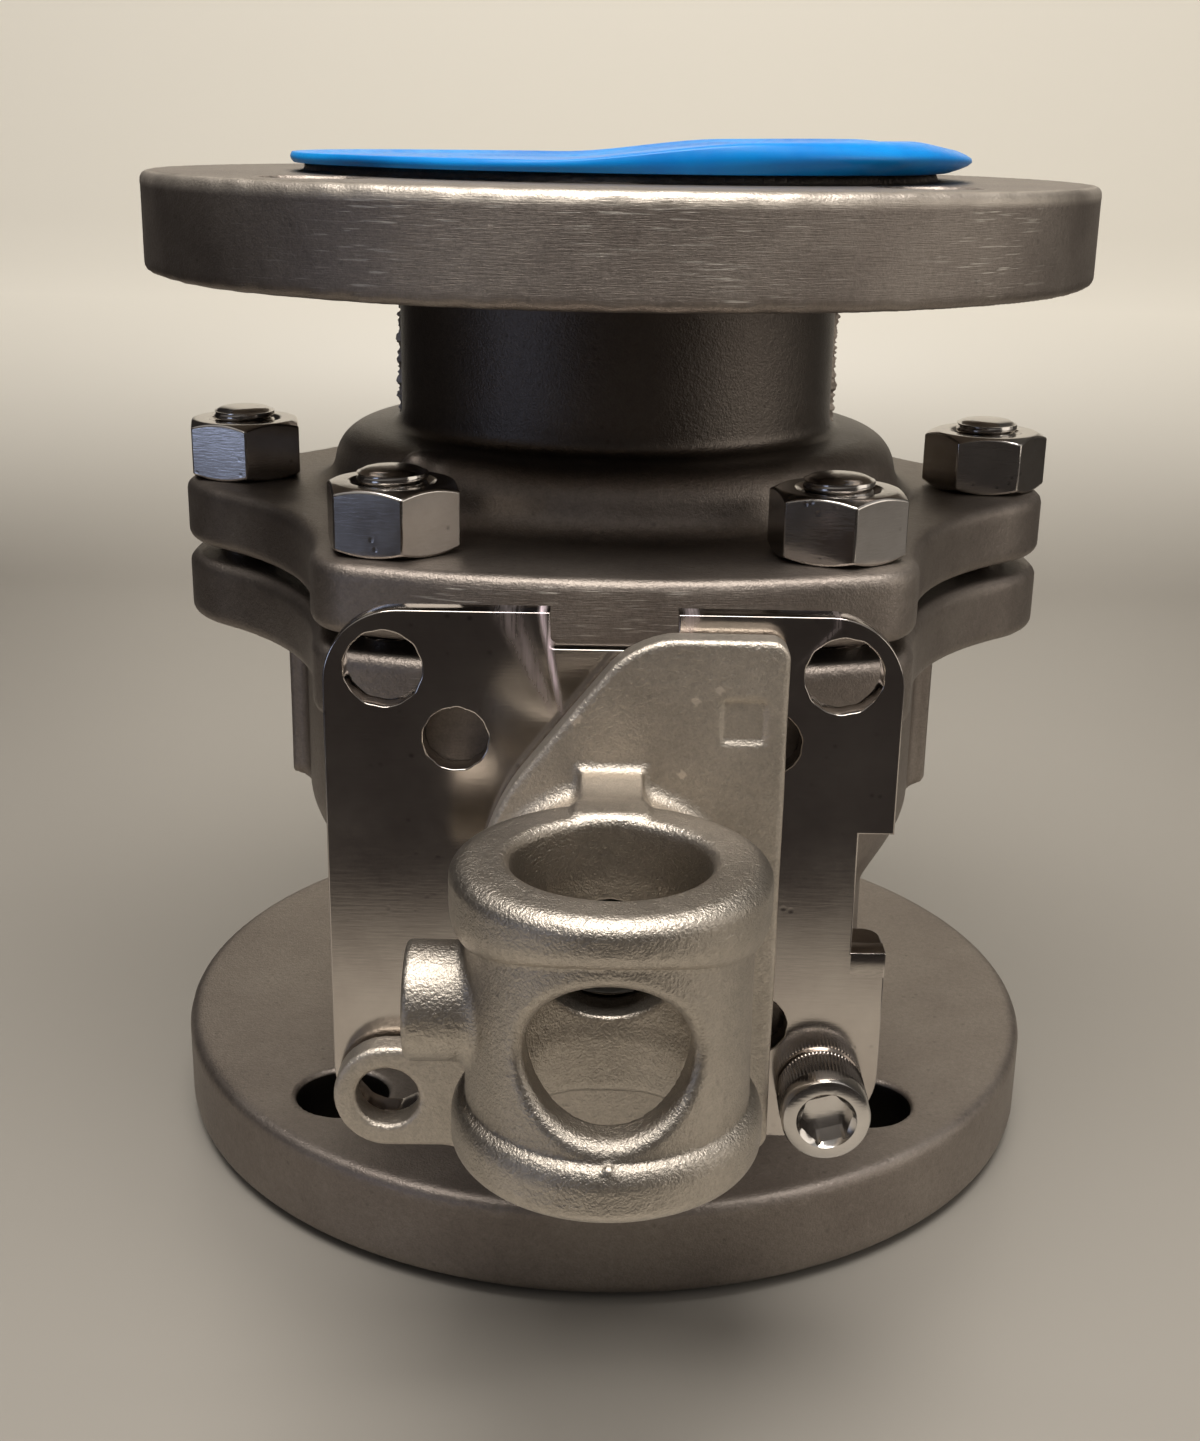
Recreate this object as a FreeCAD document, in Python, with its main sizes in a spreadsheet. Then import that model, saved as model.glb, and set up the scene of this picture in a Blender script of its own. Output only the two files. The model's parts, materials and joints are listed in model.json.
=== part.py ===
"""Flanged ball valve, 3 inch class 150, two-piece full bore body with a lever head.

The origin is the centre of the lower flange's sealing face. +Z is the flow axis, upwards, and the stem
points along -Y. The valve is open, so the lever's upright socket is in line with the flow.
"""
import FreeCAD, Part
import Sketcher
import math
import os
import re

# Driving sizes in millimetres
SIZES = {
    # Ends, flange class and flow path
    "bore_d": 76.2,
    "flange_od": 190.5,
    "flange_thickness": 20.3,
    "face_rise": 1.6,
    "face_d": 127.0,
    "bolt_edge": 19.05,
    "bolt_hole_d": 19.05,
    "bolt_count": 4,
    "rim_round": 2.2,
    "cut_over": 1.0,
    "edge_break": 1.0,
    "face_to_face": 203.2,
    "neck_r": 45.0,
    # Ball and its chamber
    "stem_height": 93.8,
    "ball_d": 116.0,
    "ball_room": 2.0,
    "seat_wall": 10.9,
    "seat_back": 45.7,
    "seat_front": 34.5,
    "seat_room": 0.3,
    "close_fit": 0.1,
    # Body casting
    "barrel_r": 57.7,
    "barrel_low": 36.0,
    "barrel_run": 10.0,
    "barrel_drop": 42.8,
    "barrel_bend": 5.0,
    "chamber_r": 66.3,
    "chamber_drop": 19.8,
    "chamber_bend": 12.0,
    "root_fillet": 3.0,
    "rib_reach": 70.2,
    "rib_width": 12.0,
    "rib_drop": 21.0,
    "shoulder_r": 59.0,
    "shoulder_rise": 24.7,
    "shoulder_slope": 1.5,
    "shoulder_round": 8.0,
    "shoulder_fillet": 5.0,
    # Bolted joint between body and end cap
    "joint_rise": 29.6,
    "joint_thickness": 13.4,
    "joint_gap": 2.9,
    "cap_joint_thickness": 12.7,
    "joint_reach": 90.8,
    "joint_front_r": 146.5,
    "joint_side_r": 120.0,
    "scallop_r": 76.8,
    "scallop_centre": 152.4,
    "scallop_angle": 59.0,
    "joint_corner": 8.0,
    "joint_round": 2.2,
    "register_r": 65.0,
    "register_depth": 3.0,
    "gasket_thickness": 2.5,
    "stud_d": 12.7,
    "stud_circle": 157.6,
    "stud_count": 6,
    "stud_proud": 1.7,
    "stud_room": 0.5,
    "nut_width": 22.2,
    "nut_height": 12.0,
    "nut_inset": 0.4,
    "nut_bevel": 1.7,
    # Stem and its packing, measured along the stem from the flow axis
    "stem_d": 22.0,
    "stem_play": 0.05,
    "slot_floor": 47.5,
    "slot_width": 14.0,
    "tang_width": 26.0,
    "tang_room": 0.3,
    "tang_side_room": 0.15,
    "collar_start": 58.5,
    "collar_d": 34.0,
    "collar_thickness": 5.5,
    "collar_room": 0.6,
    "collar_play": 5.0,
    "washer_thickness": 2.0,
    "packing_start": 70.0,
    "packing_d": 32.0,
    "packing_ring": 6.0,
    "packing_count": 3,
    "follower_length": 7.0,
    "spring_d": 34.0,
    "spring_thickness": 1.1,
    "spring_rise": 0.6,
    "spring_room": 0.2,
    "stem_nut_width": 32.0,
    "stem_nut_height": 7.4,
    "lock_washer_d": 36.0,
    "lock_washer_thickness": 1.5,
    "small_nut_bevel": 1.4,
    "stem_square": 17.0,
    "stem_end": 131.0,
    # Stem neck, pad and stop plate
    "stem_neck_r": 28.0,
    "pad_start": 96.0,
    "pad_face": 109.5,
    "pad_width": 62.0,
    "pad_corner": 6.0,
    "pad_recess_r": 20.5,
    "pad_recess_floor": 93.0,
    "plate_width": 91.2,
    "plate_thickness": 4.5,
    "plate_corner": 12.0,
    "plate_hole_r": 16.0,
    "small_circle": 70.0,
    "small_hole_d": 10.4,
    "large_circle": 102.0,
    "large_hole_d": 12.4,
    "top_notch_width": 20.0,
    "top_notch_depth": 5.8,
    "side_notch_high": 9.8,
    "side_notch_low": 11.2,
    "side_notch_depth": 5.7,
    "tab_reach": 10.0,
    "plate_screw_place": 26.0,
    "plate_screw_d": 6.0,
    "plate_screw_head_d": 11.8,
    "plate_screw_length": 16.0,
    "plate_screw_room": 1.0,
    # Stop screw
    "stop_head_d": 14.8,
    "stop_head_height": 11.0,
    "stop_shank_d": 10.0,
    "stop_nut_width": 16.0,
    "stop_nut_height": 8.0,
    "stop_screw_length": 17.0,
    "stop_key_width": 8.0,
    "stop_bevel": 0.8,
    # Lever head
    "wing_gap": 0.8,
    "wing_thickness": 5.4,
    "wing_right": 27.0,
    "wing_top": 43.2,
    "wing_top_left": 3.2,
    "wing_left": 22.0,
    "wing_slope_end": 11.2,
    "wing_corner": 3.0,
    "wing_bend": 6.0,
    "cast_edge": 0.8,
    "cast_overlap": 3.0,
    "lug_r": 9.0,
    "lug_hole_d": 10.5,
    "hub_r": 19.0,
    "hub_end": 147.0,
    "web_width": 9.7,
    "socket_axis": 155.0,
    "socket_length": 44.4,
    "socket_bore_d": 28.0,
    "barrel_wall": 6.2,
    "ring_proud": 2.2,
    "ring_height": 6.0,
    "ring_slope": 6.0,
    "ring_round": 3.0,
    "window_d": 22.0,
    "relief_depth": 0.4,
    "relief_margin": 0.6,
    "bolt_recess_d": 20.0,
    "recess_floor": 132.0,
    "boss_d": 18.0,
    "boss_reach": 28.5,
    "mark_width": 6.6,
    "mark_left": 16.9,
    "mark_low": 27.0,
    "mark_depth": 0.6,
    "lever_bolt_d": 8.0,
    "lever_bolt_head": 13.0,
    "lever_bolt_head_height": 5.3,
    "lever_bolt_inset": 0.2,
    "lever_bolt_bevel": 1.1,
    "lever_bolt_length": 22.0,
    "lever_bolt_room": 2.0,
    "lever_washer_thickness": 1.8,
    "set_screw_d": 8.0,
    "set_screw_length": 12.0,
    "set_screw_sunk": 1.0,
    # Cover on the upper flange
    "cover_d": 133.0,
    "cover_low_rise": 2.0,
    "cover_bend_start": 15.0,
    "cover_bend_end": 22.0,
    "cover_bend_rise": 5.2,
    "cover_high_rise": 6.0,
}

doc = FreeCAD.newDocument("flanged_ball_valve")
sheet = doc.addObject("Spreadsheet::Sheet", "Sizes")
for row, (alias, number) in enumerate(SIZES.items(), start=1):
    sheet.set(f"A{row}", alias.replace("_", " "))
    sheet.set(f"B{row}", str(number))
    sheet.setAlias(f"B{row}", alias)
doc.recompute()


def amount(rule):
    """The value of a rule written in the sheet's words."""
    return float(sheet.evalExpression(rule))


def tied(rule):
    """The same rule, written so that an object outside the sheet can follow it."""
    return re.sub(r"[a-z_]+", lambda word: f"Sizes.{word[0]}" if word[0] in SIZES else word[0], rule)


# Places that several pieces share
BOLT_CIRCLE = "flange_od - 2 * bolt_edge"
JOINT_Z = "stem_height + joint_rise"
JOINT_LOW = f"{JOINT_Z} - joint_thickness"
JOINT_MIDDLE = f"{JOINT_Z} - joint_thickness / 2"
REGISTER_FLOOR = f"{JOINT_Z} - register_depth"
CAP_JOINT = f"{JOINT_Z} + joint_gap"
CAP_JOINT_TOP = f"{CAP_JOINT} + cap_joint_thickness"
SHOULDER_TOP = f"{CAP_JOINT} + shoulder_rise"
BARREL_START = "barrel_low - barrel_run"
BARREL_HIGH = "stem_height - barrel_drop"
CHAMBER_LOW = "stem_height - chamber_drop"
SEAT_POCKET = "bore_d / 2 + seat_wall + close_fit"
FLANGE_UNDER = "face_to_face - flange_thickness"
CHAMBER_IN = "ball_d / 2 + ball_room"
PLATE_FACE = "pad_face + plate_thickness"
WING_BACK = f"{PLATE_FACE} + wing_gap"
WING_FACE = f"{WING_BACK} + wing_thickness"
LARGE_HOLE = "large_circle / 2 * sin(45)"
SMALL_HOLE = "small_circle / 2 * sin(45)"
BARREL_R = "socket_bore_d / 2 + barrel_wall"
STEM_HOLE_R = "stem_d / 2 + stem_play"
FOLLOWER_START = "packing_start + packing_count * packing_ring"
SPRING_START = f"{FOLLOWER_START} + follower_length"
NUT_START = f"{SPRING_START} + 2 * (spring_thickness + spring_rise) + spring_room"
NUT_TOP = f"{NUT_START} + stem_nut_height"


def new_body(label, on_stem=False):
    """A body. One on the stem has its own Z along the stem, towards the lever, from the flow axis."""
    body = doc.addObject("PartDesign::Body", label)
    body.Label = label
    if on_stem:
        turn = FreeCAD.Rotation(FreeCAD.Vector(1, 0, 0), 90)
        body.Placement = FreeCAD.Placement(FreeCAD.Vector(0, 0, 0), turn)
        body.setExpression("Placement.Base.z", tied("stem_height"))
    return body


def origin_part(body, role):
    return next(part for part in body.Origin.OriginFeatures if part.Role == role)


def sketch(body, name, plane="XY_Plane", lift="0"):
    """An empty drawing on one of the body's own planes, raised by a rule."""
    drawing = body.newObject("Sketcher::SketchObject", name)
    drawing.AttachmentSupport = [(origin_part(body, plane), "")]
    drawing.MapMode = "FlatFace"
    drawing.setExpression("AttachmentOffset.Base.z", tied(lift))
    return drawing


def pin(drawing, kind, place, rule):
    """Tie one measure of a drawing to a rule."""
    number = drawing.addConstraint(Sketcher.Constraint(kind, *place, amount(rule)))
    drawing.setExpression(f"Constraints[{number}]", tied(rule))


def pin_point(drawing, element, point, x_rule, y_rule):
    pin(drawing, "DistanceX", (-1, 1, element, point), x_rule)
    pin(drawing, "DistanceY", (-1, 1, element, point), y_rule)


def outline(drawing, corners):
    """A closed outline of straight edges through corners given as pairs of rules."""
    spots = [FreeCAD.Vector(amount(x), amount(y), 0) for x, y in corners]
    first = drawing.GeometryCount
    for start, end in zip(spots, spots[1:] + spots[:1]):
        drawing.addGeometry(Part.LineSegment(start, end), False)
    for place, (x, y) in enumerate(corners):
        following = (place + 1) % len(corners)
        joined = Sketcher.Constraint("Coincident", first + place, 2, first + following, 1)
        drawing.addConstraint(joined)
        pin_point(drawing, first + place, 1, x, y)


def rectangle(drawing, left, right, low, high):
    outline(drawing, [(left, low), (right, low), (right, high), (left, high)])


def circle(drawing, radius, x="0", y="0"):
    centre = FreeCAD.Vector(amount(x), amount(y), 0)
    ring = Part.Circle(centre, FreeCAD.Vector(0, 0, 1), amount(radius))
    element = drawing.addGeometry(ring, False)
    pin_point(drawing, element, 3, x, y)
    pin(drawing, "Radius", (element,), radius)


def hexagon(drawing, width):
    """A hexagon about the origin, with corners along X, from its width across flats."""
    half, side = f"{width} / 2", f"{width} / 2 / cos(30)"
    corners = [(side, "0"), (f"{side} / 2", half), (f"-{side} / 2", half)]
    corners += [(f"-{side}", "0"), (f"-{side} / 2", f"-{half}"), (f"{side} / 2", f"-{half}")]
    outline(drawing, corners)


def feature(body, kind, name, drawing):
    made = body.newObject(f"PartDesign::{kind}", name)
    made.Profile = drawing
    return made


def pad(body, name, drawing, length, backwards=False):
    made = feature(body, "Pad", name, drawing)
    made.setExpression("Length", tied(length))
    made.Reversed = backwards
    return made


def pocket(body, name, drawing, length, forwards=False, both_ways=False):
    """A cut down into the drawing's plane, or up out of it, or both ways."""
    made = feature(body, "Pocket", name, drawing)
    made.setExpression("Length", tied(length))
    made.Reversed = forwards
    if both_ways:
        made.SideType = "Symmetric"
    return made


def turned(body, kind, name, drawing, axis="V_Axis"):
    """A Revolution or a Groove, once around."""
    made = feature(body, kind, name, drawing)
    made.ReferenceAxis = (drawing, [axis])
    made.Angle = 360
    return made


def turned_profile(body, kind, name, corners):
    drawing = sketch(body, f"{name}_profile", "XZ_Plane")
    outline(drawing, corners)
    return turned(body, kind, name, drawing)


def around(body, name, original, count):
    """Copies around the body's own Z axis."""
    made = body.newObject("PartDesign::PolarPattern", name)
    made.Originals = [original]
    made.Axis = (origin_part(body, "Z_Axis"), [""])
    made.Angle = 360
    made.setExpression("Occurrences", tied(count))
    body.Tip = made
    return made


def ball_room(body, name, radius, height="0"):
    """A round hollow about a point on the body's Z axis."""
    made = body.newObject("PartDesign::SubtractiveSphere", name)
    made.setExpression("Radius", tied(radius))
    made.setExpression("Placement.Base.z", tied(height))
    return made


def rounded(body, name, picks, radius, kind="Fillet"):
    """A fillet or chamfer on the edges of the last feature that any of the picks accepts."""
    doc.recompute()
    base = body.Tip
    edges = enumerate(base.Shape.Edges, start=1)
    names = [f"Edge{number}" for number, edge in edges if any(pick(edge) for pick in picks)]
    made = body.newObject(f"PartDesign::{kind}", name)
    made.Base = (base, names)
    size = "Radius" if kind == "Fillet" else "Size"
    made.setExpression(size, tied(radius))
    body.Tip = made
    return made


def near(one, other):
    return abs(one - other) < 0.02


def ring_edge(radius, height):
    """Picks circular edges about the body's Z axis, of one radius at one height."""
    radius, height = amount(radius), amount(height)

    def pick(edge):
        curve = edge.Curve
        if not isinstance(curve, Part.Circle):
            return False
        on_axis = near(curve.Center.x, 0) and near(curve.Center.y, 0)
        return on_axis and near(curve.Radius, radius) and near(curve.Center.z, height)
    return pick


def upright(x, y):
    """Picks straight edges along the body's Z at one place."""
    x, y = amount(x), amount(y)

    def pick(edge):
        if not isinstance(edge.Curve, Part.Line) or len(edge.Vertexes) < 2:
            return False
        ends = [vertex.Point for vertex in edge.Vertexes]
        return all(near(end.x, x) and near(end.y, y) for end in ends)
    return pick


def rim_of(heights, reach):
    """Picks edges that lie flat at one of the heights, further out than reach."""
    heights, reach = [amount(height) for height in heights], amount(reach)

    def pick(edge):
        box = edge.BoundBox
        flat = near(box.ZMin, box.ZMax) and any(near(box.ZMin, height) for height in heights)
        middle = edge.valueAt((edge.FirstParameter + edge.LastParameter) / 2)
        return flat and (middle.x ** 2 + middle.y ** 2) ** 0.5 > reach
    return pick


# Rough half sweeps in degrees of the joint flange's bowed sides, until the drawing's own ties settle them
FRONT_HALF_SWEEP, SIDE_HALF_SWEEP = 33.5, 37.0


def joint_flange(body, low, thickness):
    """The scalloped flange of the body joint: a bowed block with four round hollows between the studs."""
    drawing = sketch(body, "joint_outline", lift=low)
    reach, front_r, side_r = "joint_reach", "joint_front_r", "joint_side_r"
    sides = [("0", f"{front_r} - {reach}", front_r, 270), (f"{reach} - {side_r}", "0", side_r, 0),
             ("0", f"{reach} - {front_r}", front_r, 90), (f"{side_r} - {reach}", "0", side_r, 180)]
    half_sweep = {front_r: FRONT_HALF_SWEEP, side_r: SIDE_HALF_SWEEP}
    for x, y, radius, middle in sides:
        centre = FreeCAD.Vector(amount(x), amount(y), 0)
        whole = Part.Circle(centre, FreeCAD.Vector(0, 0, 1), amount(radius))
        ends = [math.radians(middle + way * half_sweep[radius]) for way in (-1, 1)]
        element = drawing.addGeometry(Part.ArcOfCircle(whole, *ends), False)
        pin_point(drawing, element, 3, x, y)
        pin(drawing, "Radius", (element,), radius)
    for element in range(4):
        following = (element + 1) % 4
        drawing.addConstraint(Sketcher.Constraint("Coincident", element, 2, following, 1))
    pad(body, "joint_flange", drawing, thickness)
    hollows = sketch(body, "scallop_circles", lift=low)
    across, along = "scallop_centre * sin(scallop_angle)", "scallop_centre * cos(scallop_angle)"
    for x in (across, f"-{across}"):
        for y in (along, f"-{along}"):
            circle(hollows, "scallop_r", x, y)
    pocket(body, "scallops", hollows, thickness, forwards=True)
    doc.recompute()
    corners = [edge for edge in body.Tip.Shape.Edges if standing(edge, low, thickness)]
    picks = [upright(str(edge.Vertexes[0].X), str(edge.Vertexes[0].Y)) for edge in corners]
    rounded(body, "joint_corners", picks, "joint_corner")


def standing(edge, low, thickness):
    """Whether an edge runs straight up from the joint flange's underside to its top."""
    box = edge.BoundBox
    full_height = near(box.ZMin, amount(low)) and near(box.ZMax, amount(f"{low} + {thickness}"))
    return full_height and near(box.XMin, box.XMax) and near(box.YMin, box.YMax)


def bolt_holes(body, name, low, length, circle_d, hole_d, count, angle):
    """Holes on a circle, cut up from a height."""
    drawing = sketch(body, f"{name}_circle", lift=low)
    circle(drawing, f"({hole_d}) / 2", f"({circle_d}) / 2 * cos({angle})", f"({circle_d}) / 2 * sin({angle})")
    first = pocket(body, f"{name}_first", drawing, length, forwards=True)
    return around(body, name, first, count)


def make_main_body():
    body = new_body("main_body")
    flange_r, face_r = "flange_od / 2", "face_d / 2"
    turned_profile(body, "Revolution", "outside", [
        ("0", "0"), (face_r, "0"), (face_r, "face_rise"), (flange_r, "face_rise"),
        (flange_r, "flange_thickness"), ("neck_r", "flange_thickness"), ("neck_r", BARREL_START),
        ("barrel_r", "barrel_low"), ("barrel_r", BARREL_HIGH), ("chamber_r", CHAMBER_LOW),
        ("chamber_r", JOINT_MIDDLE), ("0", JOINT_MIDDLE)])
    rounded(body, "flange_rims", [ring_edge(flange_r, "face_rise"), ring_edge(flange_r, "flange_thickness")],
            "rim_round")
    rounded(body, "neck_roots", [ring_edge("neck_r", "flange_thickness")], "root_fillet")
    rounded(body, "barrel_bends", [ring_edge("barrel_r", "barrel_low"), ring_edge("neck_r", BARREL_START)],
            "barrel_bend")
    rounded(body, "chamber_bends", [ring_edge("barrel_r", BARREL_HIGH), ring_edge("chamber_r", CHAMBER_LOW)],
            "chamber_bend")
    ribs = sketch(body, "rib_outline", lift="stem_height - rib_drop")
    rectangle(ribs, "-rib_reach", "rib_reach", "-rib_width / 2", "rib_width / 2")
    pad(body, "side_ribs", ribs, "joint_rise + rib_drop - joint_thickness / 2")
    joint_flange(body, JOINT_LOW, "joint_thickness")
    rounded(body, "joint_rims", [rim_of([JOINT_LOW, JOINT_Z], "scallop_centre - scallop_r")], "joint_round")
    neck = sketch(body, "stem_neck_circle", "XZ_Plane")
    circle(neck, "stem_neck_r", "0", "stem_height")
    pad(body, "stem_neck", neck, "pad_start + cut_over")
    flat = sketch(body, "pad_outline", "XZ_Plane", "pad_start")
    half = "pad_width / 2"
    rectangle(flat, f"-{half}", half, f"stem_height - {half}", f"stem_height + {half}")
    pad(body, "mounting_pad", flat, "pad_face - pad_start")
    rounded(body, "pad_corners", [along_stem(x, z) for x in (f"-{half}", half)
                                  for z in (f"stem_height - {half}", f"stem_height + {half}")], "pad_corner")
    turned_profile(body, "Groove", "flow_path", [
        ("0", "-cut_over"), ("bore_d / 2", "-cut_over"), ("bore_d / 2", "stem_height - seat_back"),
        (SEAT_POCKET, "stem_height - seat_back"), (SEAT_POCKET, "stem_height"),
        (CHAMBER_IN, "stem_height"), (CHAMBER_IN, REGISTER_FLOOR), ("register_r", REGISTER_FLOOR),
        ("register_r", f"{JOINT_Z} + cut_over"), ("0", f"{JOINT_Z} + cut_over")])
    ball_room(body, "ball_chamber", CHAMBER_IN, "stem_height")
    for name, radius, start, depth in (
            ("pad_recess", "pad_recess_r", "pad_face", "pad_face - pad_recess_floor"),
            ("packing_box", "packing_d / 2", "pad_face", "pad_face - packing_start"),
            ("stem_hole", STEM_HOLE_R, "packing_start", "packing_start - collar_start"),
            ("collar_seat", "collar_d / 2 + collar_room",
             "collar_start + collar_thickness + washer_thickness",
             "collar_thickness + washer_thickness + collar_play")):
        drawing = sketch(body, f"{name}_circle", "XZ_Plane", start)
        circle(drawing, radius, "0", "stem_height")
        pocket(body, name, drawing, depth)
    screws = sketch(body, "plate_screw_circles", "XZ_Plane", "pad_face")
    for way in ("+", "-"):
        circle(screws, "plate_screw_d / 2 + close_fit", "0", f"stem_height {way} plate_screw_place")
    pocket(body, "plate_screw_holes", screws, "plate_screw_length")
    bolt_holes(body, "flange_bolt_holes", "-cut_over", "flange_thickness + 2 * cut_over", BOLT_CIRCLE,
               "bolt_hole_d", "bolt_count", "45")
    bolt_holes(body, "stud_holes", f"{JOINT_LOW} - cut_over", "joint_thickness + 2 * cut_over", "stud_circle",
               "stud_d + 2 * close_fit", "stud_count", "0")
    return body


def along_stem(x, z):
    """Picks straight edges along Y at one place."""
    x, z = amount(x), amount(z)

    def pick(edge):
        if not isinstance(edge.Curve, Part.Line) or len(edge.Vertexes) < 2:
            return False
        ends = [vertex.Point for vertex in edge.Vertexes]
        return all(near(end.x, x) and near(end.z, z) for end in ends)
    return pick


def make_end_cap():
    body = new_body("end_cap")
    flange_r, face_r = "flange_od / 2", "face_d / 2"
    top, under = "face_to_face", FLANGE_UNDER
    turned_profile(body, "Revolution", "outside", [
        ("0", f"{CAP_JOINT} + cut_over"), ("shoulder_r", f"{CAP_JOINT} + cut_over"),
        ("shoulder_r", SHOULDER_TOP), ("neck_r", f"{SHOULDER_TOP} + shoulder_slope"), ("neck_r", under),
        (flange_r, under),
        (flange_r, f"{top} - face_rise"), (face_r, f"{top} - face_rise"), (face_r, top), ("0", top)])
    rounded(body, "flange_rims", [ring_edge(flange_r, under), ring_edge(flange_r, f"{top} - face_rise")],
            "rim_round")
    rounded(body, "neck_roots", [ring_edge("neck_r", under),
                                 ring_edge("neck_r", f"{SHOULDER_TOP} + shoulder_slope")], "root_fillet")
    rounded(body, "shoulder_rounds", [ring_edge("shoulder_r", SHOULDER_TOP)], "shoulder_round")
    joint_flange(body, CAP_JOINT, "cap_joint_thickness")
    rounded(body, "joint_rims", [rim_of([CAP_JOINT, CAP_JOINT_TOP], "scallop_centre - scallop_r")],
            "joint_round")
    rounded(body, "shoulder_roots", [ring_edge("shoulder_r", CAP_JOINT_TOP)], "shoulder_fillet")
    spigot = sketch(body, "spigot_circle", lift=CAP_JOINT)
    circle(spigot, "register_r - close_fit")
    pad(body, "spigot", spigot, "joint_gap + register_depth - gasket_thickness", backwards=True)
    turned_profile(body, "Groove", "flow_path", [
        ("0", f"{top} + cut_over"), ("bore_d / 2", f"{top} + cut_over"),
        ("bore_d / 2", "stem_height + seat_back"), (SEAT_POCKET, "stem_height + seat_back"),
        (SEAT_POCKET, REGISTER_FLOOR), ("0", REGISTER_FLOOR)])
    ball_room(body, "ball_chamber", CHAMBER_IN, "stem_height")
    bolt_holes(body, "flange_bolt_holes", f"{under} - cut_over", "flange_thickness + 2 * cut_over",
               BOLT_CIRCLE, "bolt_hole_d", "bolt_count", "45")
    bolt_holes(body, "stud_holes", f"{CAP_JOINT} - cut_over", "cap_joint_thickness + 2 * cut_over",
               "stud_circle", "stud_d + 2 * stud_room", "stud_count", "0")
    return body


def make_ring(label, inner, outer, low, high, on_stem=False):
    """A plain ring about the flow axis or the stem."""
    body = new_body(label, on_stem)
    turned_profile(body, "Revolution", "ring", [(inner, low), (outer, low), (outer, high), (inner, high)])
    return body


def make_seat(label, way):
    """A seat ring with a round face that fits the ball, above or below it."""
    body = new_body(label)
    front, back = f"stem_height {way} seat_front", f"stem_height {way} seat_back"
    inner, outer = "bore_d / 2", "bore_d / 2 + seat_wall"
    turned_profile(body, "Revolution", "ring", [(inner, back), (outer, back), (outer, front), (inner, front)])
    ball_room(body, "ball_face", "ball_d / 2 + seat_room", "stem_height")
    return body


def make_ball():
    body = new_body("ball")
    ball = body.newObject("PartDesign::AdditiveSphere", "sphere")
    ball.setExpression("Radius", tied("ball_d / 2"))
    ball.setExpression("Placement.Base.z", tied("stem_height"))
    bore = sketch(body, "bore_circle", lift="stem_height")
    circle(bore, "bore_d / 2")
    pocket(body, "bore", bore, "ball_d + 2 * cut_over", both_ways=True)
    slot = sketch(body, "slot_outline", "XZ_Plane", "ball_d / 2 + cut_over")
    rectangle(slot, "-ball_d / 2", "ball_d / 2", "stem_height - slot_width / 2",
              "stem_height + slot_width / 2")
    pocket(body, "stem_slot", slot, "ball_d / 2 + cut_over - slot_floor")
    return body


def make_studs():
    body = new_body("joint_studs")
    top = f"{CAP_JOINT_TOP} + nut_height + stud_proud"
    low = f"{JOINT_LOW} + stud_room"
    drawing = sketch(body, "stud_circle_drawing", lift=low)
    circle(drawing, "stud_d / 2", "stud_circle / 2")
    first = pad(body, "stud", drawing, f"{top} - ({low})")
    around(body, "studs", first, "stud_count")
    rounded(body, "stud_ends", [rim_of([top], "0")], "edge_break", "Chamfer")
    return body


# How far each nut was left turned, going round from the one at +X
NUT_TURNS = (53.0, 18.0, 40.0, 41.0, 41.0, 37.0)


def make_nuts():
    """One chamfered hex nut, and a copy on each stud turned its own way."""
    nut = new_body("nut_blank")
    flats = sketch(nut, "hexagon")
    hexagon(flats, "nut_width")
    circle(flats, "stud_d / 2 + close_fit")
    pad(nut, "block", flats, "nut_height")
    side = "nut_width / 2 / cos(30)"
    turned_profile(nut, "Groove", "top_chamfer", [
        ("nut_width / 2 - nut_inset", "nut_height"), (f"{side} + cut_over", "nut_height"),
        (f"{side} + cut_over", "nut_height - nut_bevel")])
    copies = []
    for place, turn in enumerate(NUT_TURNS):
        copy = doc.addObject("App::Link", f"nut_{place + 1}")
        copy.LinkedObject = nut
        angle = 60 * place
        copy.Placement.Rotation = FreeCAD.Rotation(FreeCAD.Vector(0, 0, 1), turn)
        copy.setExpression("Placement.Base.x", tied(f"stud_circle / 2 * cos({angle})"))
        copy.setExpression("Placement.Base.y", tied(f"stud_circle / 2 * sin({angle})"))
        copy.setExpression("Placement.Base.z", tied(CAP_JOINT_TOP))
        copies.append(copy)
    nuts = doc.addObject("Part::Compound", "joint_nuts")
    nuts.Label = "joint_nuts"
    nuts.Links = copies
    return nuts


def make_packing():
    body = new_body("stem_packing", on_stem=True)
    inner, outer = "stem_d / 2 + stem_play", "packing_d / 2"
    low, high = "packing_start", "packing_start + packing_ring - close_fit"
    first = turned_profile(body, "Revolution", "packing_ring_one",
                           [(inner, low), (outer, low), (outer, high), (inner, high)])
    row = body.newObject("PartDesign::LinearPattern", "packing_rings")
    row.Originals = [first]
    row.Direction = (origin_part(body, "Z_Axis"), [""])
    row.setExpression("Length", tied("packing_ring * (packing_count - 1)"))
    row.setExpression("Occurrences", tied("packing_count"))
    body.Tip = row
    return body


def make_springs():
    """Two disc springs, rim to rim."""
    body = new_body("disc_springs", on_stem=True)
    inner, outer, base = "stem_d / 2 + close_fit", "spring_d / 2", SPRING_START
    turned_profile(body, "Revolution", "lower_spring", [
        (inner, f"{base} + spring_rise"), (outer, base), (outer, f"{base} + spring_thickness"),
        (inner, f"{base} + spring_rise + spring_thickness")])
    upper = f"{base} + spring_thickness + stem_play"
    turned_profile(body, "Revolution", "upper_spring", [
        (inner, f"{upper} + spring_rise"), (outer, f"{upper} + 2 * spring_rise"),
        (outer, f"{upper} + 2 * spring_rise + spring_thickness"),
        (inner, f"{upper} + spring_rise + spring_thickness")])
    return body


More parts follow.
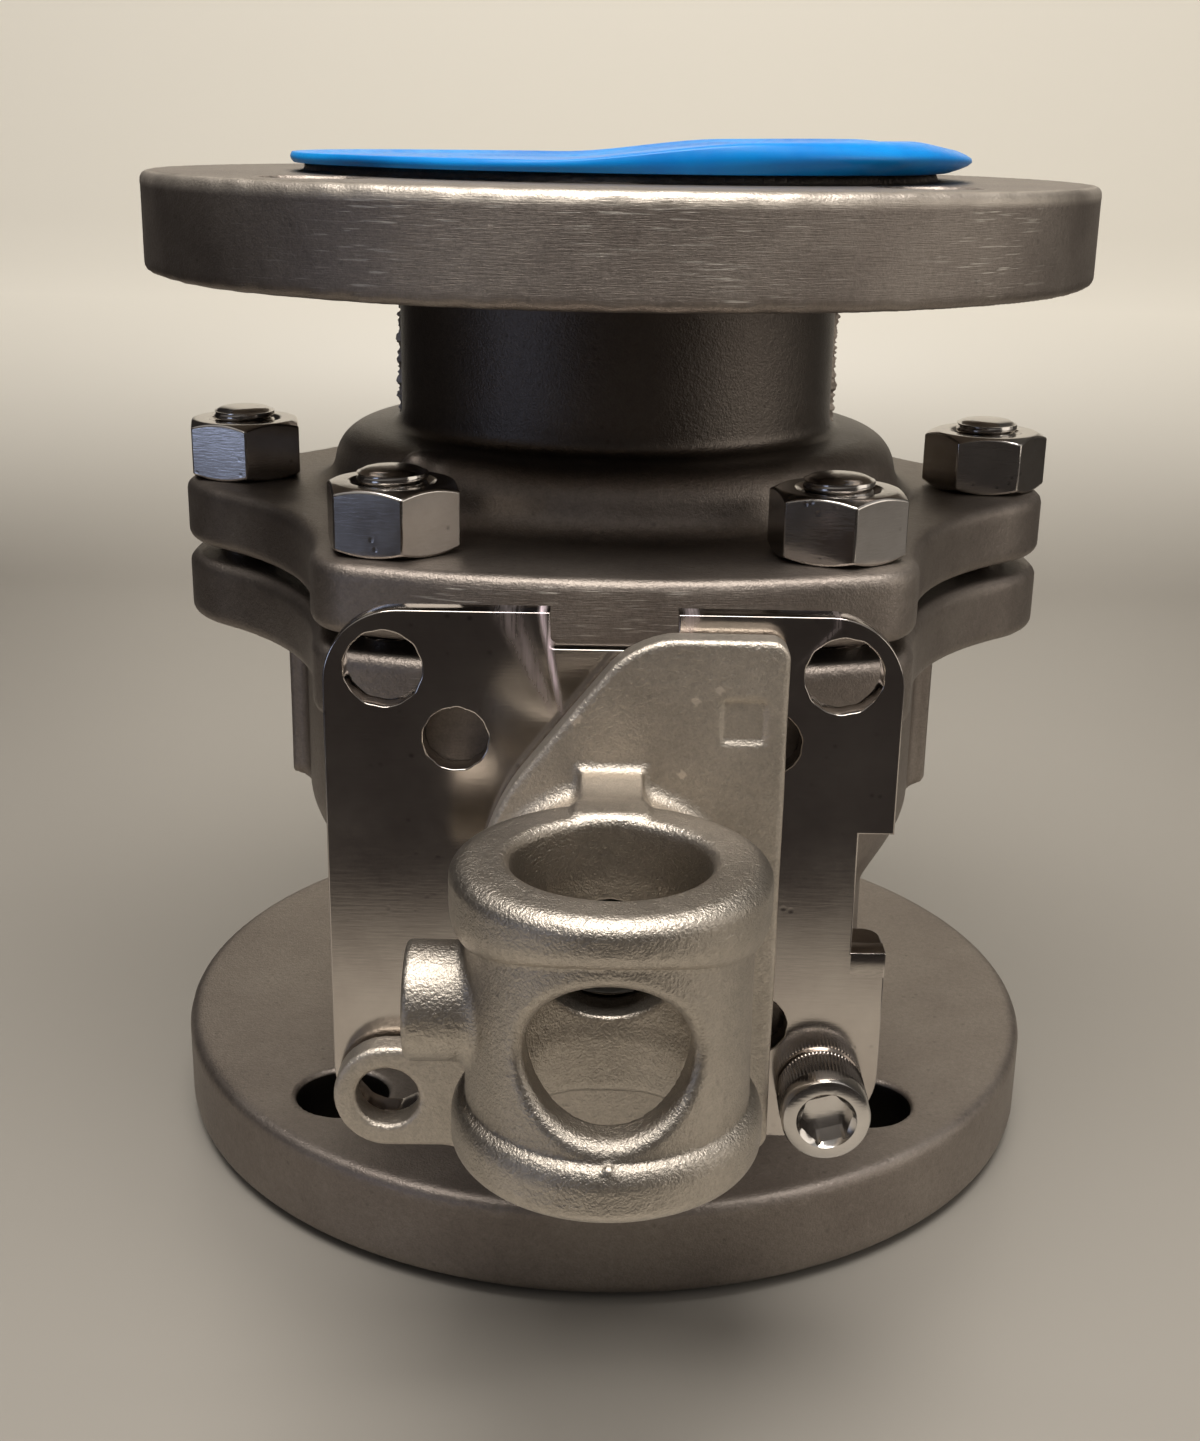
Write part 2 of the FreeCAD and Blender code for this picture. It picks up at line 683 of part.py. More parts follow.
def make_stem():
    body = new_body("stem", on_stem=True)
    collar_end = "collar_start + collar_thickness"
    turned_profile(body, "Revolution", "round_bar", [
        ("0", "collar_start"), ("collar_d / 2", "collar_start"), ("collar_d / 2", collar_end),
        ("stem_d / 2", collar_end), ("stem_d / 2", "stem_end"), ("0", "stem_end")])
    tang = sketch(body, "tang_outline", lift="slot_floor + tang_room")
    half, thin = "tang_width / 2", "slot_width / 2 - tang_side_room"
    rectangle(tang, f"-{half}", half, f"-({thin})", thin)
    pad(body, "tang", tang, "collar_start - slot_floor")
    flats = sketch(body, "square_outline", lift="stem_end")
    side = "stem_square / 2"
    rectangle(flats, f"-{side}", side, f"-{side}", side)
    circle(flats, "stem_d")
    pocket(body, "square", flats, f"stem_end - ({NUT_TOP})")
    hole = sketch(body, "bolt_hole_circle", lift="stem_end")
    circle(hole, "lever_bolt_d / 2 + stem_play")
    pocket(body, "bolt_hole", hole, "lever_bolt_length")
    rounded(body, "collar_edge", [ring_edge("collar_d / 2", collar_end)], "edge_break", "Chamfer")
    return body


def make_hex_nut(label, width, hole_r, start, height, x="0", y="0"):
    """A hex nut on the stem, or beside it."""
    body = new_body(label, on_stem=True)
    if x != "0":
        body.setExpression("Placement.Base.x", tied(x))
        body.setExpression("Placement.Base.z", tied(f"stem_height + {y}"))
    flats = sketch(body, "hexagon", lift=start)
    hexagon(flats, width)
    circle(flats, hole_r)
    pad(body, "block", flats, height)
    side, top = f"{width} / 2 / cos(30)", f"{start} + {height}"
    turned_profile(body, "Groove", "top_chamfer", [
        (f"{width} / 2", top), (f"{side} + cut_over", top),
        (f"{side} + cut_over", f"{top} - small_nut_bevel")])
    return body


def make_lock_washer():
    body = new_body("nut_lock_washer", on_stem=True)
    drawing = sketch(body, "washer_outline", lift=f"{NUT_TOP} + close_fit")
    circle(drawing, "lock_washer_d / 2")
    side = "stem_square / 2 + close_fit"
    rectangle(drawing, f"-({side})", side, f"-({side})", side)
    pad(body, "washer", drawing, "lock_washer_thickness")
    return body


def make_stop_plate():
    body = new_body("stop_plate", on_stem=True)
    half = "plate_width / 2"
    blank = sketch(body, "blank_outline", lift="pad_face")
    rectangle(blank, f"-{half}", half, f"-{half}", half)
    pad(body, "blank", blank, "plate_thickness")
    corners = [upright(x, y) for x in (f"-{half}", half) for y in (f"-{half}", half)]
    rounded(body, "blank_corners", corners, "plate_corner")
    holes = sketch(body, "hole_circles", lift=PLATE_FACE)
    circle(holes, "plate_hole_r")
    for place, size in ((LARGE_HOLE, "large_hole_d / 2"), (SMALL_HOLE, "small_hole_d / 2")):
        for x in (place, f"-{place}"):
            for y in (place, f"-{place}"):
                circle(holes, size, x, y)
    for y in ("plate_screw_place", "-plate_screw_place"):
        circle(holes, "plate_screw_d / 2 + close_fit", "0", y)
    pocket(body, "holes", holes, "plate_thickness + cut_over")
    notches = sketch(body, "notch_outlines", lift=PLATE_FACE)
    rectangle(notches, "-top_notch_width / 2", "top_notch_width / 2", f"{half} - top_notch_depth",
              f"{half} + cut_over")
    rectangle(notches, f"{half} - side_notch_depth", f"{half} + cut_over", "-side_notch_low",
              "side_notch_high")
    pocket(body, "notches", notches, "plate_thickness + cut_over")
    tab = sketch(body, "tab_outline", lift=f"{PLATE_FACE} - tab_reach")
    rectangle(tab, f"{half} - side_notch_depth", half, "-side_notch_low - plate_thickness", "-side_notch_low")
    pad(body, "bent_tab", tab, "tab_reach")
    seats = [ring_edge_at("plate_screw_d / 2 + close_fit", y, PLATE_FACE)
             for y in ("plate_screw_place", "-plate_screw_place")]
    rounded(body, "screw_seats", seats, "(plate_screw_head_d - plate_screw_d) / 2", "Chamfer")
    return body


def ring_edge_at(radius, y, height):
    """Picks the circular edge of a hole on the body's Y axis."""
    radius, y, height = amount(radius), amount(y), amount(height)

    def pick(edge):
        curve = edge.Curve
        if not isinstance(curve, Part.Circle):
            return False
        placed = near(curve.Center.x, 0) and near(curve.Center.y, y) and near(curve.Center.z, height)
        return placed and near(curve.Radius, radius)
    return pick


def axis_line(drawing, start, end):
    """A construction line between two points, to turn a profile about."""
    ends = [FreeCAD.Vector(amount(x), amount(y), 0) for x, y in (start, end)]
    line = drawing.addGeometry(Part.LineSegment(*ends), True)
    pin_point(drawing, line, 1, *start)
    pin_point(drawing, line, 2, *end)


def make_plate_screws():
    """Two countersunk screws, flush with the plate."""
    body = new_body("plate_screws", on_stem=True)
    shank, head = "plate_screw_d / 2", "plate_screw_head_d / 2"
    foot = "pad_face - plate_screw_length + plate_screw_room"
    neck = f"{PLATE_FACE} - (plate_screw_head_d - plate_screw_d) / 2"
    for name, y in (("upper_screw", "plate_screw_place"), ("lower_screw", "-plate_screw_place")):
        drawing = sketch(body, f"{name}_profile", "YZ_Plane")
        outline(drawing, [(y, foot), (f"{y} + {shank}", foot), (f"{y} + {shank}", neck),
                          (f"{y} + {head}", PLATE_FACE), (y, PLATE_FACE)])
        axis_line(drawing, (y, "0"), (y, neck))
        turned(body, "Revolution", name, drawing, "Axis0")
    return body


def make_stop_screw():
    body = new_body("stop_screw", on_stem=True)
    body.setExpression("Placement.Base.x", tied(LARGE_HOLE))
    body.setExpression("Placement.Base.z", tied(f"stem_height - {LARGE_HOLE}"))
    head, shank = "stop_head_d / 2", "stop_shank_d / 2"
    top = f"{PLATE_FACE} + stop_head_height"
    turned_profile(body, "Revolution", "screw", [
        ("0", f"{PLATE_FACE} - stop_screw_length"), (shank, f"{PLATE_FACE} - stop_screw_length"),
        (shank, PLATE_FACE), (head, PLATE_FACE), (head, top), ("0", top)])
    rounded(body, "head_edge", [ring_edge(head, top)], "stop_bevel", "Chamfer")
    socket = sketch(body, "hex_socket", lift=top)
    hexagon(socket, "stop_key_width")
    pocket(body, "socket", socket, "stop_head_height / 2")
    return body


def make_lever_head():
    """The cast lever head: wing and padlock lug, hub and web, and the upright socket with its boss."""
    body = new_body("lever_head", on_stem=True)
    lug_low, lug_high = f"-{LARGE_HOLE} - lug_r", f"-{LARGE_HOLE} + lug_r"
    wing = sketch(body, "wing_outline", lift=WING_BACK)
    outline(wing, [(f"-{LARGE_HOLE}", lug_low), ("wing_right", lug_low), ("wing_right", "wing_top"),
                   ("wing_top_left", "wing_top"), ("-wing_left", "wing_slope_end"), ("-wing_left", lug_high),
                   (f"-{LARGE_HOLE}", lug_high)])
    pad(body, "wing", wing, "wing_thickness")
    rounded(body, "wing_corners", [upright("wing_right", lug_low), upright("wing_right", "wing_top")],
            "wing_corner")
    bends = [("wing_top_left", "wing_top"), ("-wing_left", "wing_slope_end"), ("-wing_left", lug_high)]
    rounded(body, "wing_bends", [upright(*place) for place in bends], "wing_bend")
    lug = sketch(body, "lug_circle", lift=WING_BACK)
    circle(lug, "lug_r", f"-{LARGE_HOLE}", f"-{LARGE_HOLE}")
    pad(body, "lug", lug, "wing_thickness")
    rounded(body, "wing_edges", [flat_edge(WING_FACE)], "cast_edge")
    hub = sketch(body, "hub_circle", lift=WING_BACK)
    circle(hub, "hub_r")
    pad(body, "hub", hub, f"hub_end - ({WING_BACK})")
    web = sketch(body, "web_outline", lift=f"{WING_FACE} - cut_over")
    rectangle(web, "-web_width / 2", "web_width / 2", "-socket_length / 2", "socket_length / 2")
    pad(body, "web", web, f"socket_axis - ({BARREL_R}) + cast_overlap - ({WING_FACE})")
    make_socket(body)
    boss = sketch(body, "boss_circle", "YZ_Plane", "-boss_reach")
    circle(boss, "boss_d / 2", "0", "socket_axis")
    pad(body, "boss", boss, f"boss_reach - ({BARREL_R}) + cast_overlap")
    bore = sketch(body, "bore_circle", "XZ_Plane")
    circle(bore, "socket_bore_d / 2", "0", "socket_axis")
    pocket(body, "bore", bore, "2 * socket_length", both_ways=True)
    make_relief(body)
    cuts = (("window", "window_d / 2", "socket_axis", "socket_axis"),
            ("bolt_recess", "bolt_recess_d / 2", "recess_floor", "socket_axis - recess_floor"))
    for name, radius, start, depth in cuts:
        drawing = sketch(body, f"{name}_circle", lift=start)
        circle(drawing, radius)
        pocket(body, name, drawing, depth, forwards=True)
    square = sketch(body, "square_outline", lift=f"{WING_BACK} - cut_over")
    side = "stem_square / 2 + close_fit"
    rectangle(square, f"-({side})", side, f"-({side})", side)
    pocket(body, "square_hole", square, f"recess_floor - ({WING_BACK}) + 2 * cut_over", forwards=True)
    hole = sketch(body, "lug_hole_circle", lift=WING_FACE)
    circle(hole, "lug_hole_d / 2", f"-{LARGE_HOLE}", f"-{LARGE_HOLE}")
    pocket(body, "lug_hole", hole, "wing_thickness + cut_over")
    tapped = sketch(body, "screw_hole_circle", "YZ_Plane", "-boss_reach - cut_over")
    circle(tapped, "set_screw_d / 2 + close_fit", "0", "socket_axis")
    pocket(body, "screw_hole", tapped, "boss_reach - socket_bore_d / 2 + cast_overlap", forwards=True)
    mark = sketch(body, "mark_outline", lift=WING_FACE)
    rectangle(mark, "mark_left", "mark_left + mark_width", "mark_low", "mark_low + mark_width")
    pocket(body, "mark", mark, "mark_depth")
    return body


def flat_edge(height):
    """Picks every edge that lies flat at one height."""
    height = amount(height)

    def pick(edge):
        return near(edge.BoundBox.ZMin, height) and near(edge.BoundBox.ZMax, height)
    return pick


def make_socket(body):
    """The upright tube of the lever head, with a thick ring at each end."""
    drawing = sketch(body, "socket_profile", "YZ_Plane")
    end, ring_r, tube_r = "socket_length / 2", f"{BARREL_R} + ring_proud", BARREL_R
    inner = f"{end} - ring_height"
    profile = [(f"-{end}", "0"), (f"-{end}", ring_r), (f"-({inner})", ring_r),
               (f"-({inner}) + ring_slope", tube_r), (f"{inner} - ring_slope", tube_r), (inner, ring_r),
               (end, ring_r), (end, "0")]
    outline(drawing, [(across, f"socket_axis + {radius}") for across, radius in profile])
    axis_line(drawing, ("0", "socket_axis"), (end, "socket_axis"))
    turned(body, "Revolution", "socket", drawing, "Axis0")
    rounded(body, "ring_rims", [socket_ring(ring_r, place) for place in (f"-{end}", end)], "ring_round")


def make_relief(body):
    """A shallow relief inside the socket at the windows, which leaves a guiding bore at each end."""
    drawing = sketch(body, "relief_profile", "YZ_Plane")
    end, deep = "window_d / 2 + relief_margin", "socket_bore_d / 2 + relief_depth"
    profile = [(f"-({end})", "0"), (f"-({end})", deep), (end, deep), (end, "0")]
    outline(drawing, [(across, f"socket_axis + {radius}") for across, radius in profile])
    axis_line(drawing, ("0", "socket_axis"), (end, "socket_axis"))
    turned(body, "Groove", "relief", drawing, "Axis0")


def socket_ring(radius, across):
    """Picks a circular edge of the upright socket at one distance along it."""
    radius, across, height = amount(radius), amount(across), amount("socket_axis")

    def pick(edge):
        curve = edge.Curve
        if not isinstance(curve, Part.Circle):
            return False
        placed = near(curve.Center.y, across) and near(curve.Center.z, height)
        return placed and near(curve.Radius, radius)
    return pick


def make_lever_bolt():
    body = new_body("lever_bolt", on_stem=True)
    seat = "recess_floor + lever_washer_thickness"
    foot = "stem_end - lever_bolt_length + lever_bolt_room"
    shank = sketch(body, "shank_circle", lift=foot)
    circle(shank, "lever_bolt_d / 2")
    pad(body, "shank", shank, f"{seat} + cut_over - ({foot})")
    head = sketch(body, "head_hexagon", lift=seat)
    hexagon(head, "lever_bolt_head")
    pad(body, "head", head, "lever_bolt_head_height")
    side, top = "lever_bolt_head / 2 / cos(30)", f"{seat} + lever_bolt_head_height"
    turned_profile(body, "Groove", "head_chamfer", [
        ("lever_bolt_head / 2 - lever_bolt_inset", top), (f"{side} + cut_over", top),
        (f"{side} + cut_over", f"{top} - lever_bolt_bevel")])
    return body


def make_set_screw():
    body = new_body("handle_set_screw", on_stem=True)
    drawing = sketch(body, "screw_circle", "YZ_Plane", "-boss_reach + set_screw_sunk")
    circle(drawing, "set_screw_d / 2", "0", "socket_axis")
    pad(body, "screw", drawing, "set_screw_length")
    socket = sketch(body, "hex_socket", "YZ_Plane", "-boss_reach + set_screw_sunk")
    side = "set_screw_d / 4"
    corners = [(f"{side} / cos(30)", "0"), (f"{side} / cos(30) / 2", side), (f"-{side} / cos(30) / 2", side),
               (f"-{side} / cos(30)", "0"), (f"-{side} / cos(30) / 2", f"-{side}"),
               (f"{side} / cos(30) / 2", f"-{side}")]
    outline(socket, [(x, f"socket_axis + {y}") for x, y in corners])
    pocket(body, "socket", socket, "set_screw_length / 3", forwards=True)
    return body


def make_cover():
    """The plastic cap on the raised face: a disc whose top lies low on the left and bends up to the right."""
    body = new_body("flange_cover")
    low, over = "face_to_face + close_fit", "cover_d / 2 + cut_over"
    drawing = sketch(body, "disc_circle", lift=low)
    circle(drawing, "cover_d / 2")
    pad(body, "disc", drawing, "cover_high_rise")
    top = sketch(body, "warp_outline", "XZ_Plane")
    rises = [(f"-({over})", "cover_low_rise"), ("-cover_bend_start", "cover_low_rise"),
             ("cover_bend_end", "cover_bend_rise"), (over, "cover_high_rise")]
    sky = f"{low} + cover_high_rise + cut_over"
    corners = [(x, f"{low} + {rise}") for x, rise in rises]
    outline(top, corners + [(over, sky), (f"-({over})", sky)])
    pocket(body, "warp", top, "2 * cover_d", both_ways=True)
    return body


NUT_BORE = "stem_d / 2 + stem_play"
PIECES = [
    make_main_body(),
    make_end_cap(),
    make_ring("body_gasket", f"{CHAMBER_IN} + seat_room", "register_r - close_fit", REGISTER_FLOOR,
              f"{REGISTER_FLOOR} + gasket_thickness"),
    make_seat("lower_seat", "-"),
    make_seat("upper_seat", "+"),
    make_ball(),
    make_studs(),
    make_nuts(),
    make_stem(),
    make_ring("stem_thrust_washer", STEM_HOLE_R, "collar_d / 2 + collar_room - close_fit",
              "collar_start + collar_thickness + close_fit",
              "collar_start + collar_thickness + washer_thickness", on_stem=True),
    make_packing(),
    make_ring("gland_follower", STEM_HOLE_R, "packing_d / 2 - close_fit", FOLLOWER_START,
              f"{FOLLOWER_START} + follower_length", on_stem=True),
    make_springs(),
    make_hex_nut("stem_nut", "stem_nut_width", NUT_BORE, f"{NUT_START} + close_fit",
                 "stem_nut_height - close_fit"),
    make_lock_washer(),
    make_stop_plate(),
    make_plate_screws(),
    make_stop_screw(),
    make_hex_nut("stop_screw_nut", "stop_nut_width", "stop_shank_d / 2 + stem_play",
                 "pad_face - stop_nut_height", "stop_nut_height", LARGE_HOLE, f"(-{LARGE_HOLE})"),
    make_lever_head(),
    make_ring("lever_washer", "lever_bolt_d / 2 + close_fit", "bolt_recess_d / 2 - stud_room", "recess_floor",
              "recess_floor + lever_washer_thickness", on_stem=True),
    make_lever_bolt(),
    make_set_screw(),
    make_cover(),
]
doc.recompute()

for item in doc.Objects:
    faults = {"Invalid", "Error"} & set(item.State)
    if faults:
        raise RuntimeError(f"{item.Label} did not build: {item.State}")
os.makedirs("parts", exist_ok=True)
for piece in PIECES:
    if piece.Shape.isNull() or not piece.Shape.isValid() or not piece.Shape.Solids:
        raise RuntimeError(f"{piece.Label} has no sound shape")
    piece.Shape.exportStep(f"parts/{piece.Label}.step")
    print(f"{piece.Label}: {len(piece.Shape.Solids)} solid(s), {piece.Shape.Volume / 1000:.1f} cm3")
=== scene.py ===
"""The looks of the flanged ball valve: castings, threads, knurling, the warped cover and finishes.

Sizes are in millimetres in the CAD model's frame: +Z is the flow axis, the stem points along -Y. They become
metres where a mesh is made. A casting is written as a distance field: how far a point is from its surface.
"""
import json
import math
import bpy
import numpy as np
from mathutils import Matrix, Vector


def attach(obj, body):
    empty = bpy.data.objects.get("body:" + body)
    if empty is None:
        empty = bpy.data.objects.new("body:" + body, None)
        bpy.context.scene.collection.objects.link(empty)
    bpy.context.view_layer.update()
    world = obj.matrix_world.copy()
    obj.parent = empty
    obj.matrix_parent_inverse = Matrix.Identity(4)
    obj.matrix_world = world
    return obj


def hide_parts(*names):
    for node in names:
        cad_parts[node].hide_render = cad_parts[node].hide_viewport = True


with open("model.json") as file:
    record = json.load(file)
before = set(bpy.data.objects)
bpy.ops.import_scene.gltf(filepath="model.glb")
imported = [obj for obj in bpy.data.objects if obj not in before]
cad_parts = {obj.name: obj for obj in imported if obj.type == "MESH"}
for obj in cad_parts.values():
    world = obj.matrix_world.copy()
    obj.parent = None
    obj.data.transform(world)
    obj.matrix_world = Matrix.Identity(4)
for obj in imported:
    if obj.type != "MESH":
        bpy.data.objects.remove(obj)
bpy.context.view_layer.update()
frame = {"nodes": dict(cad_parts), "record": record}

MM = 0.001

# Flanges and flow path
BORE_R = 38.1
FLANGE_R = 95.2
FLANGE_T = 20.3
FACE_RISE = 1.6
FACE_R = 63.5
FACE_TO_FACE = 203.2
BOLT_CIRCLE_R = 76.2
BOLT_HOLE_R = 9.525
NECK_R = 45.0
RIM_ROUND = 2.2
# Body casting
STEM_HEIGHT = 93.8
BARREL_R = 57.7
BARREL_LOW, BARREL_HIGH = 36.0, 51.0
CHAMBER_R = 66.3
CHAMBER_LOW = 74.0
CHAMBER_IN = 60.0
SEAT_POCKET_R = 49.1
SEAT_BACK = 45.7
RIB_REACH, RIB_HALF, RIB_LOW = 70.2, 6.0, 72.8
SHOULDER_R, SHOULDER_TOP = 59.0, 151.0
CASTING_STEP, LEVER_STEP = 1.1, 0.6
# Joint between body and end cap
JOINT_Z, JOINT_T, JOINT_GAP = 123.4, 13.4, 2.9
CAP_JOINT_T = 12.7
JOINT_REACH, JOINT_FRONT_R, JOINT_SIDE_R = 90.8, 146.5, 120.0
SCALLOP_R, SCALLOP_CENTRE, SCALLOP_ANGLE = 76.8, 152.4, math.radians(59.0)
JOINT_CORNER, JOINT_ROUND = 8.0, 2.2
REGISTER_R, REGISTER_DEPTH, GASKET_T = 65.0, 3.0, 2.5
STUD_CIRCLE_R, STUD_R, STUD_PROUD = 78.8, 6.35, 2.5
NUT_WIDTH, NUT_HEIGHT = 22.2, 12.0
# Stem neck, pad and plate, along the stem
STEM_NECK_R = 28.0
PAD_START, PAD_FACE, PAD_HALF, PAD_CORNER = 96.0, 109.5, 31.0, 6.0
# Radius and start of each step of the stem's hole
STEM_BORES = ((20.5, 93.0), (16.0, 70.0), (11.05, 57.0))
COLLAR_ROOM_R, COLLAR_LOW, COLLAR_HIGH = 17.6, 50.0, 66.0
PLATE_SCREW_UP, PLATE_SCREW_R = 26.0, 3.1
PLATE_T, PLATE_HALF, PLATE_CORNER = 4.5, 45.6, 12.0
PLATE_FACE = PAD_FACE + PLATE_T
LARGE_HOLE, SMALL_HOLE = 51.0 * math.sin(math.radians(45)), 35.0 * math.sin(math.radians(45))
LARGE_HOLE_R, SMALL_HOLE_R, MIDDLE_HOLE_R = 6.2, 5.2, 16.0
NOTCH_HALF, NOTCH_DEPTH, NOTCH_CORNER = 10.0, 5.0, 0.8
TAB_SIDE, TAB_TOP, TAB_LOW, TAB_WIDTH, TAB_REACH, TAB_CORNER = 39.9, 9.8, -11.2, 5.7, 10.0, 3.0
# Lever head
WING_BACK, WING_FACE, WING_TOP, WING_RIGHT, WING_LEFT = 114.8, 120.2, 43.2, 27.0, -22.0
SLOPE_TOP_X, SLOPE_X, SLOPE_UP = 3.2, 25.2, 32.0
LUG_R, LUG_HOLE_R, HUB_R, WEB_HALF = 9.0, 5.25, 19.0, 4.85
SOCKET_AXIS, SOCKET_HALF, SOCKET_BORE_R, TUBE_R = 155.0, 22.2, 14.0, 20.2
RING_PROUD = 2.05
BOSS_R, BOSS_END, BOSS_HOLE_R = 8.5, 28.5, 4.1
WINDOW_R, RECESS_R, RECESS_BACK, SQUARE_HALF = 11.2, 9.55, 132.0, 8.6
MARK_X, MARK_UP, MARK_HALF, MARK_DEPTH = 20.2, 30.3, 3.3, 0.6

VALVE, LEVER, COVER = "valve", "lever", "cover"


# Fields

def joined(one, other, fillet=0.0):
    """Two fields as one solid, with a hollow fillet where they meet."""
    reach = np.hypot(np.maximum(fillet - one, 0.0), np.maximum(fillet - other, 0.0))
    return np.maximum(fillet, np.minimum(one, other)) - reach


def common(one, other, round_off=0.0):
    """What two fields share, with the edge rounded off."""
    reach = np.hypot(np.maximum(round_off + one, 0.0), np.maximum(round_off + other, 0.0))
    return np.minimum(-round_off, np.maximum(one, other)) + reach


def cut(one, other, round_off=0.0):
    return common(one, -other, round_off)


def slab(across, low, high):
    return np.maximum(low - across, across - high)


def bar(u, v, half_u, half_v, corner):
    """A rectangle with round corners."""
    beyond_u, beyond_v = np.abs(u) - half_u + corner, np.abs(v) - half_v + corner
    outside = np.hypot(np.maximum(beyond_u, 0.0), np.maximum(beyond_v, 0.0))
    return outside + np.minimum(np.maximum(beyond_u, beyond_v), 0.0) - corner


def eased(share):
    share = np.clip(share, 0.0, 1.0)
    return share * share * (3.0 - 2.0 * share)


def unevenness(x, y, z, depth, size):
    """The slow waves of a casting's skin."""
    waves = np.sin(x / size + 1.3 * np.sin(y / size / 1.7))
    waves = waves + np.sin(y / size * 1.2 + 1.1 * np.sin(z / size / 1.4))
    return depth * (waves + np.sin(z / size * 0.9 + 1.4 * np.sin(x / size / 1.9 + 2.0))) / 3.0


def joint_outline(x, y):
    """The bowed and scalloped outline of the joint flanges, seen along the flow axis."""
    ends = np.hypot(x, np.abs(y) + JOINT_FRONT_R - JOINT_REACH) - JOINT_FRONT_R
    sides = np.hypot(np.abs(x) + JOINT_SIDE_R - JOINT_REACH, y) - JOINT_SIDE_R
    hollow_x, hollow_y = SCALLOP_CENTRE * math.sin(SCALLOP_ANGLE), SCALLOP_CENTRE * math.cos(SCALLOP_ANGLE)
    hollows = np.hypot(np.abs(x) - hollow_x, np.abs(y) - hollow_y) - SCALLOP_R
    return cut(common(ends, sides, JOINT_CORNER), hollows, JOINT_CORNER)


def stud_holes(x, y, radius):
    side = np.hypot(np.abs(x) - STUD_CIRCLE_R, y)
    slant_x, slant_y = STUD_CIRCLE_R * 0.5, STUD_CIRCLE_R * math.sqrt(0.75)
    return np.minimum(side, np.hypot(np.abs(x) - slant_x, np.abs(y) - slant_y)) - radius


def flange_holes(x, y):
    place = BOLT_CIRCLE_R * math.sqrt(0.5)
    return np.hypot(np.abs(x) - place, np.abs(y) - place) - BOLT_HOLE_R


def main_body_field(x, y, z):
    """The body: lower flange, barrel, chamber, ribs, joint flange, stem neck and pad, less its bores."""
    out = np.hypot(x, y)
    flange = common(out - FLANGE_R, slab(z, FACE_RISE, FLANGE_T), RIM_ROUND)
    flange = joined(flange, common(out - FACE_R, slab(z, 0.0, FLANGE_T), 0.5))
    wall = NECK_R + (BARREL_R - NECK_R) * eased((z - BARREL_LOW + 11.0) / 12.0)
    wall = wall + (CHAMBER_R - BARREL_R) * eased((z - BARREL_HIGH) / (CHAMBER_LOW - BARREL_HIGH))
    shell = np.maximum((out - wall) * 0.8, slab(z, FLANGE_T - 8.0, JOINT_Z - JOINT_T / 2))
    body = joined(flange, shell, 4.0)
    ribs = np.maximum(np.abs(y) - RIB_HALF, np.abs(x) - RIB_REACH)
    ribs = common(ribs, slab(z, RIB_LOW, JOINT_Z - 4.0), 1.6)
    body = joined(body, ribs, 3.0)
    block = common(joint_outline(x, y), slab(z, JOINT_Z - JOINT_T, JOINT_Z), JOINT_ROUND)
    body = joined(body, block, 5.0)
    along, up = -y, z - STEM_HEIGHT
    across = np.hypot(x, up)
    body = joined(body, np.maximum(across - STEM_NECK_R, slab(along, 10.0, PAD_START + 4.0)), 7.0)
    pad = common(bar(x, up, PAD_HALF, PAD_HALF, PAD_CORNER), slab(along, PAD_START, PAD_FACE), 1.5)
    body = joined(body, pad, 3.0)
    body = cut(body, np.maximum(JOINT_Z - z, along - JOINT_REACH - 2.0))
    body = body + unevenness(x, y, z, 0.12, 9.0) * (out > CHAMBER_IN) * (z > FLANGE_T) * (z < JOINT_Z - 1.0)
    body = cut(body, out - BORE_R, 0.8)
    body = cut(body, np.maximum(out - SEAT_POCKET_R, STEM_HEIGHT - SEAT_BACK - z))
    body = cut(body, np.sqrt(x * x + y * y + up * up) - CHAMBER_IN)
    body = cut(body, np.maximum(out - CHAMBER_IN, -up))
    body = cut(body, np.maximum(out - REGISTER_R, JOINT_Z - REGISTER_DEPTH - z))
    body = cut(body, np.maximum(flange_holes(x, y), z - FLANGE_T - 2.0), 0.7)
    body = cut(body, np.maximum(stud_holes(x, y, STUD_R + 0.1), JOINT_Z - JOINT_T - 3.0 - z), 0.7)
    for radius, start in STEM_BORES:
        body = cut(body, np.maximum(across - radius, start - along), 0.3)
    collar = np.maximum(across - COLLAR_ROOM_R, slab(along, COLLAR_LOW, COLLAR_HIGH))
    screws = np.hypot(x, np.abs(up) - PLATE_SCREW_UP) - PLATE_SCREW_R
    screws = np.maximum(screws, PAD_FACE - 16.0 - along)
    return cut(cut(body, collar), screws)


def knocks(x, y):
    """Small knocks round the edge of a flange, from -1 to 1."""
    turn = np.arctan2(y, x)
    wide = 0.6 * np.sin(23 * turn + 1.0) * np.sin(37 * turn)
    return wide + 0.4 * np.sin(71 * turn + 0.5) * np.sin(13 * turn)


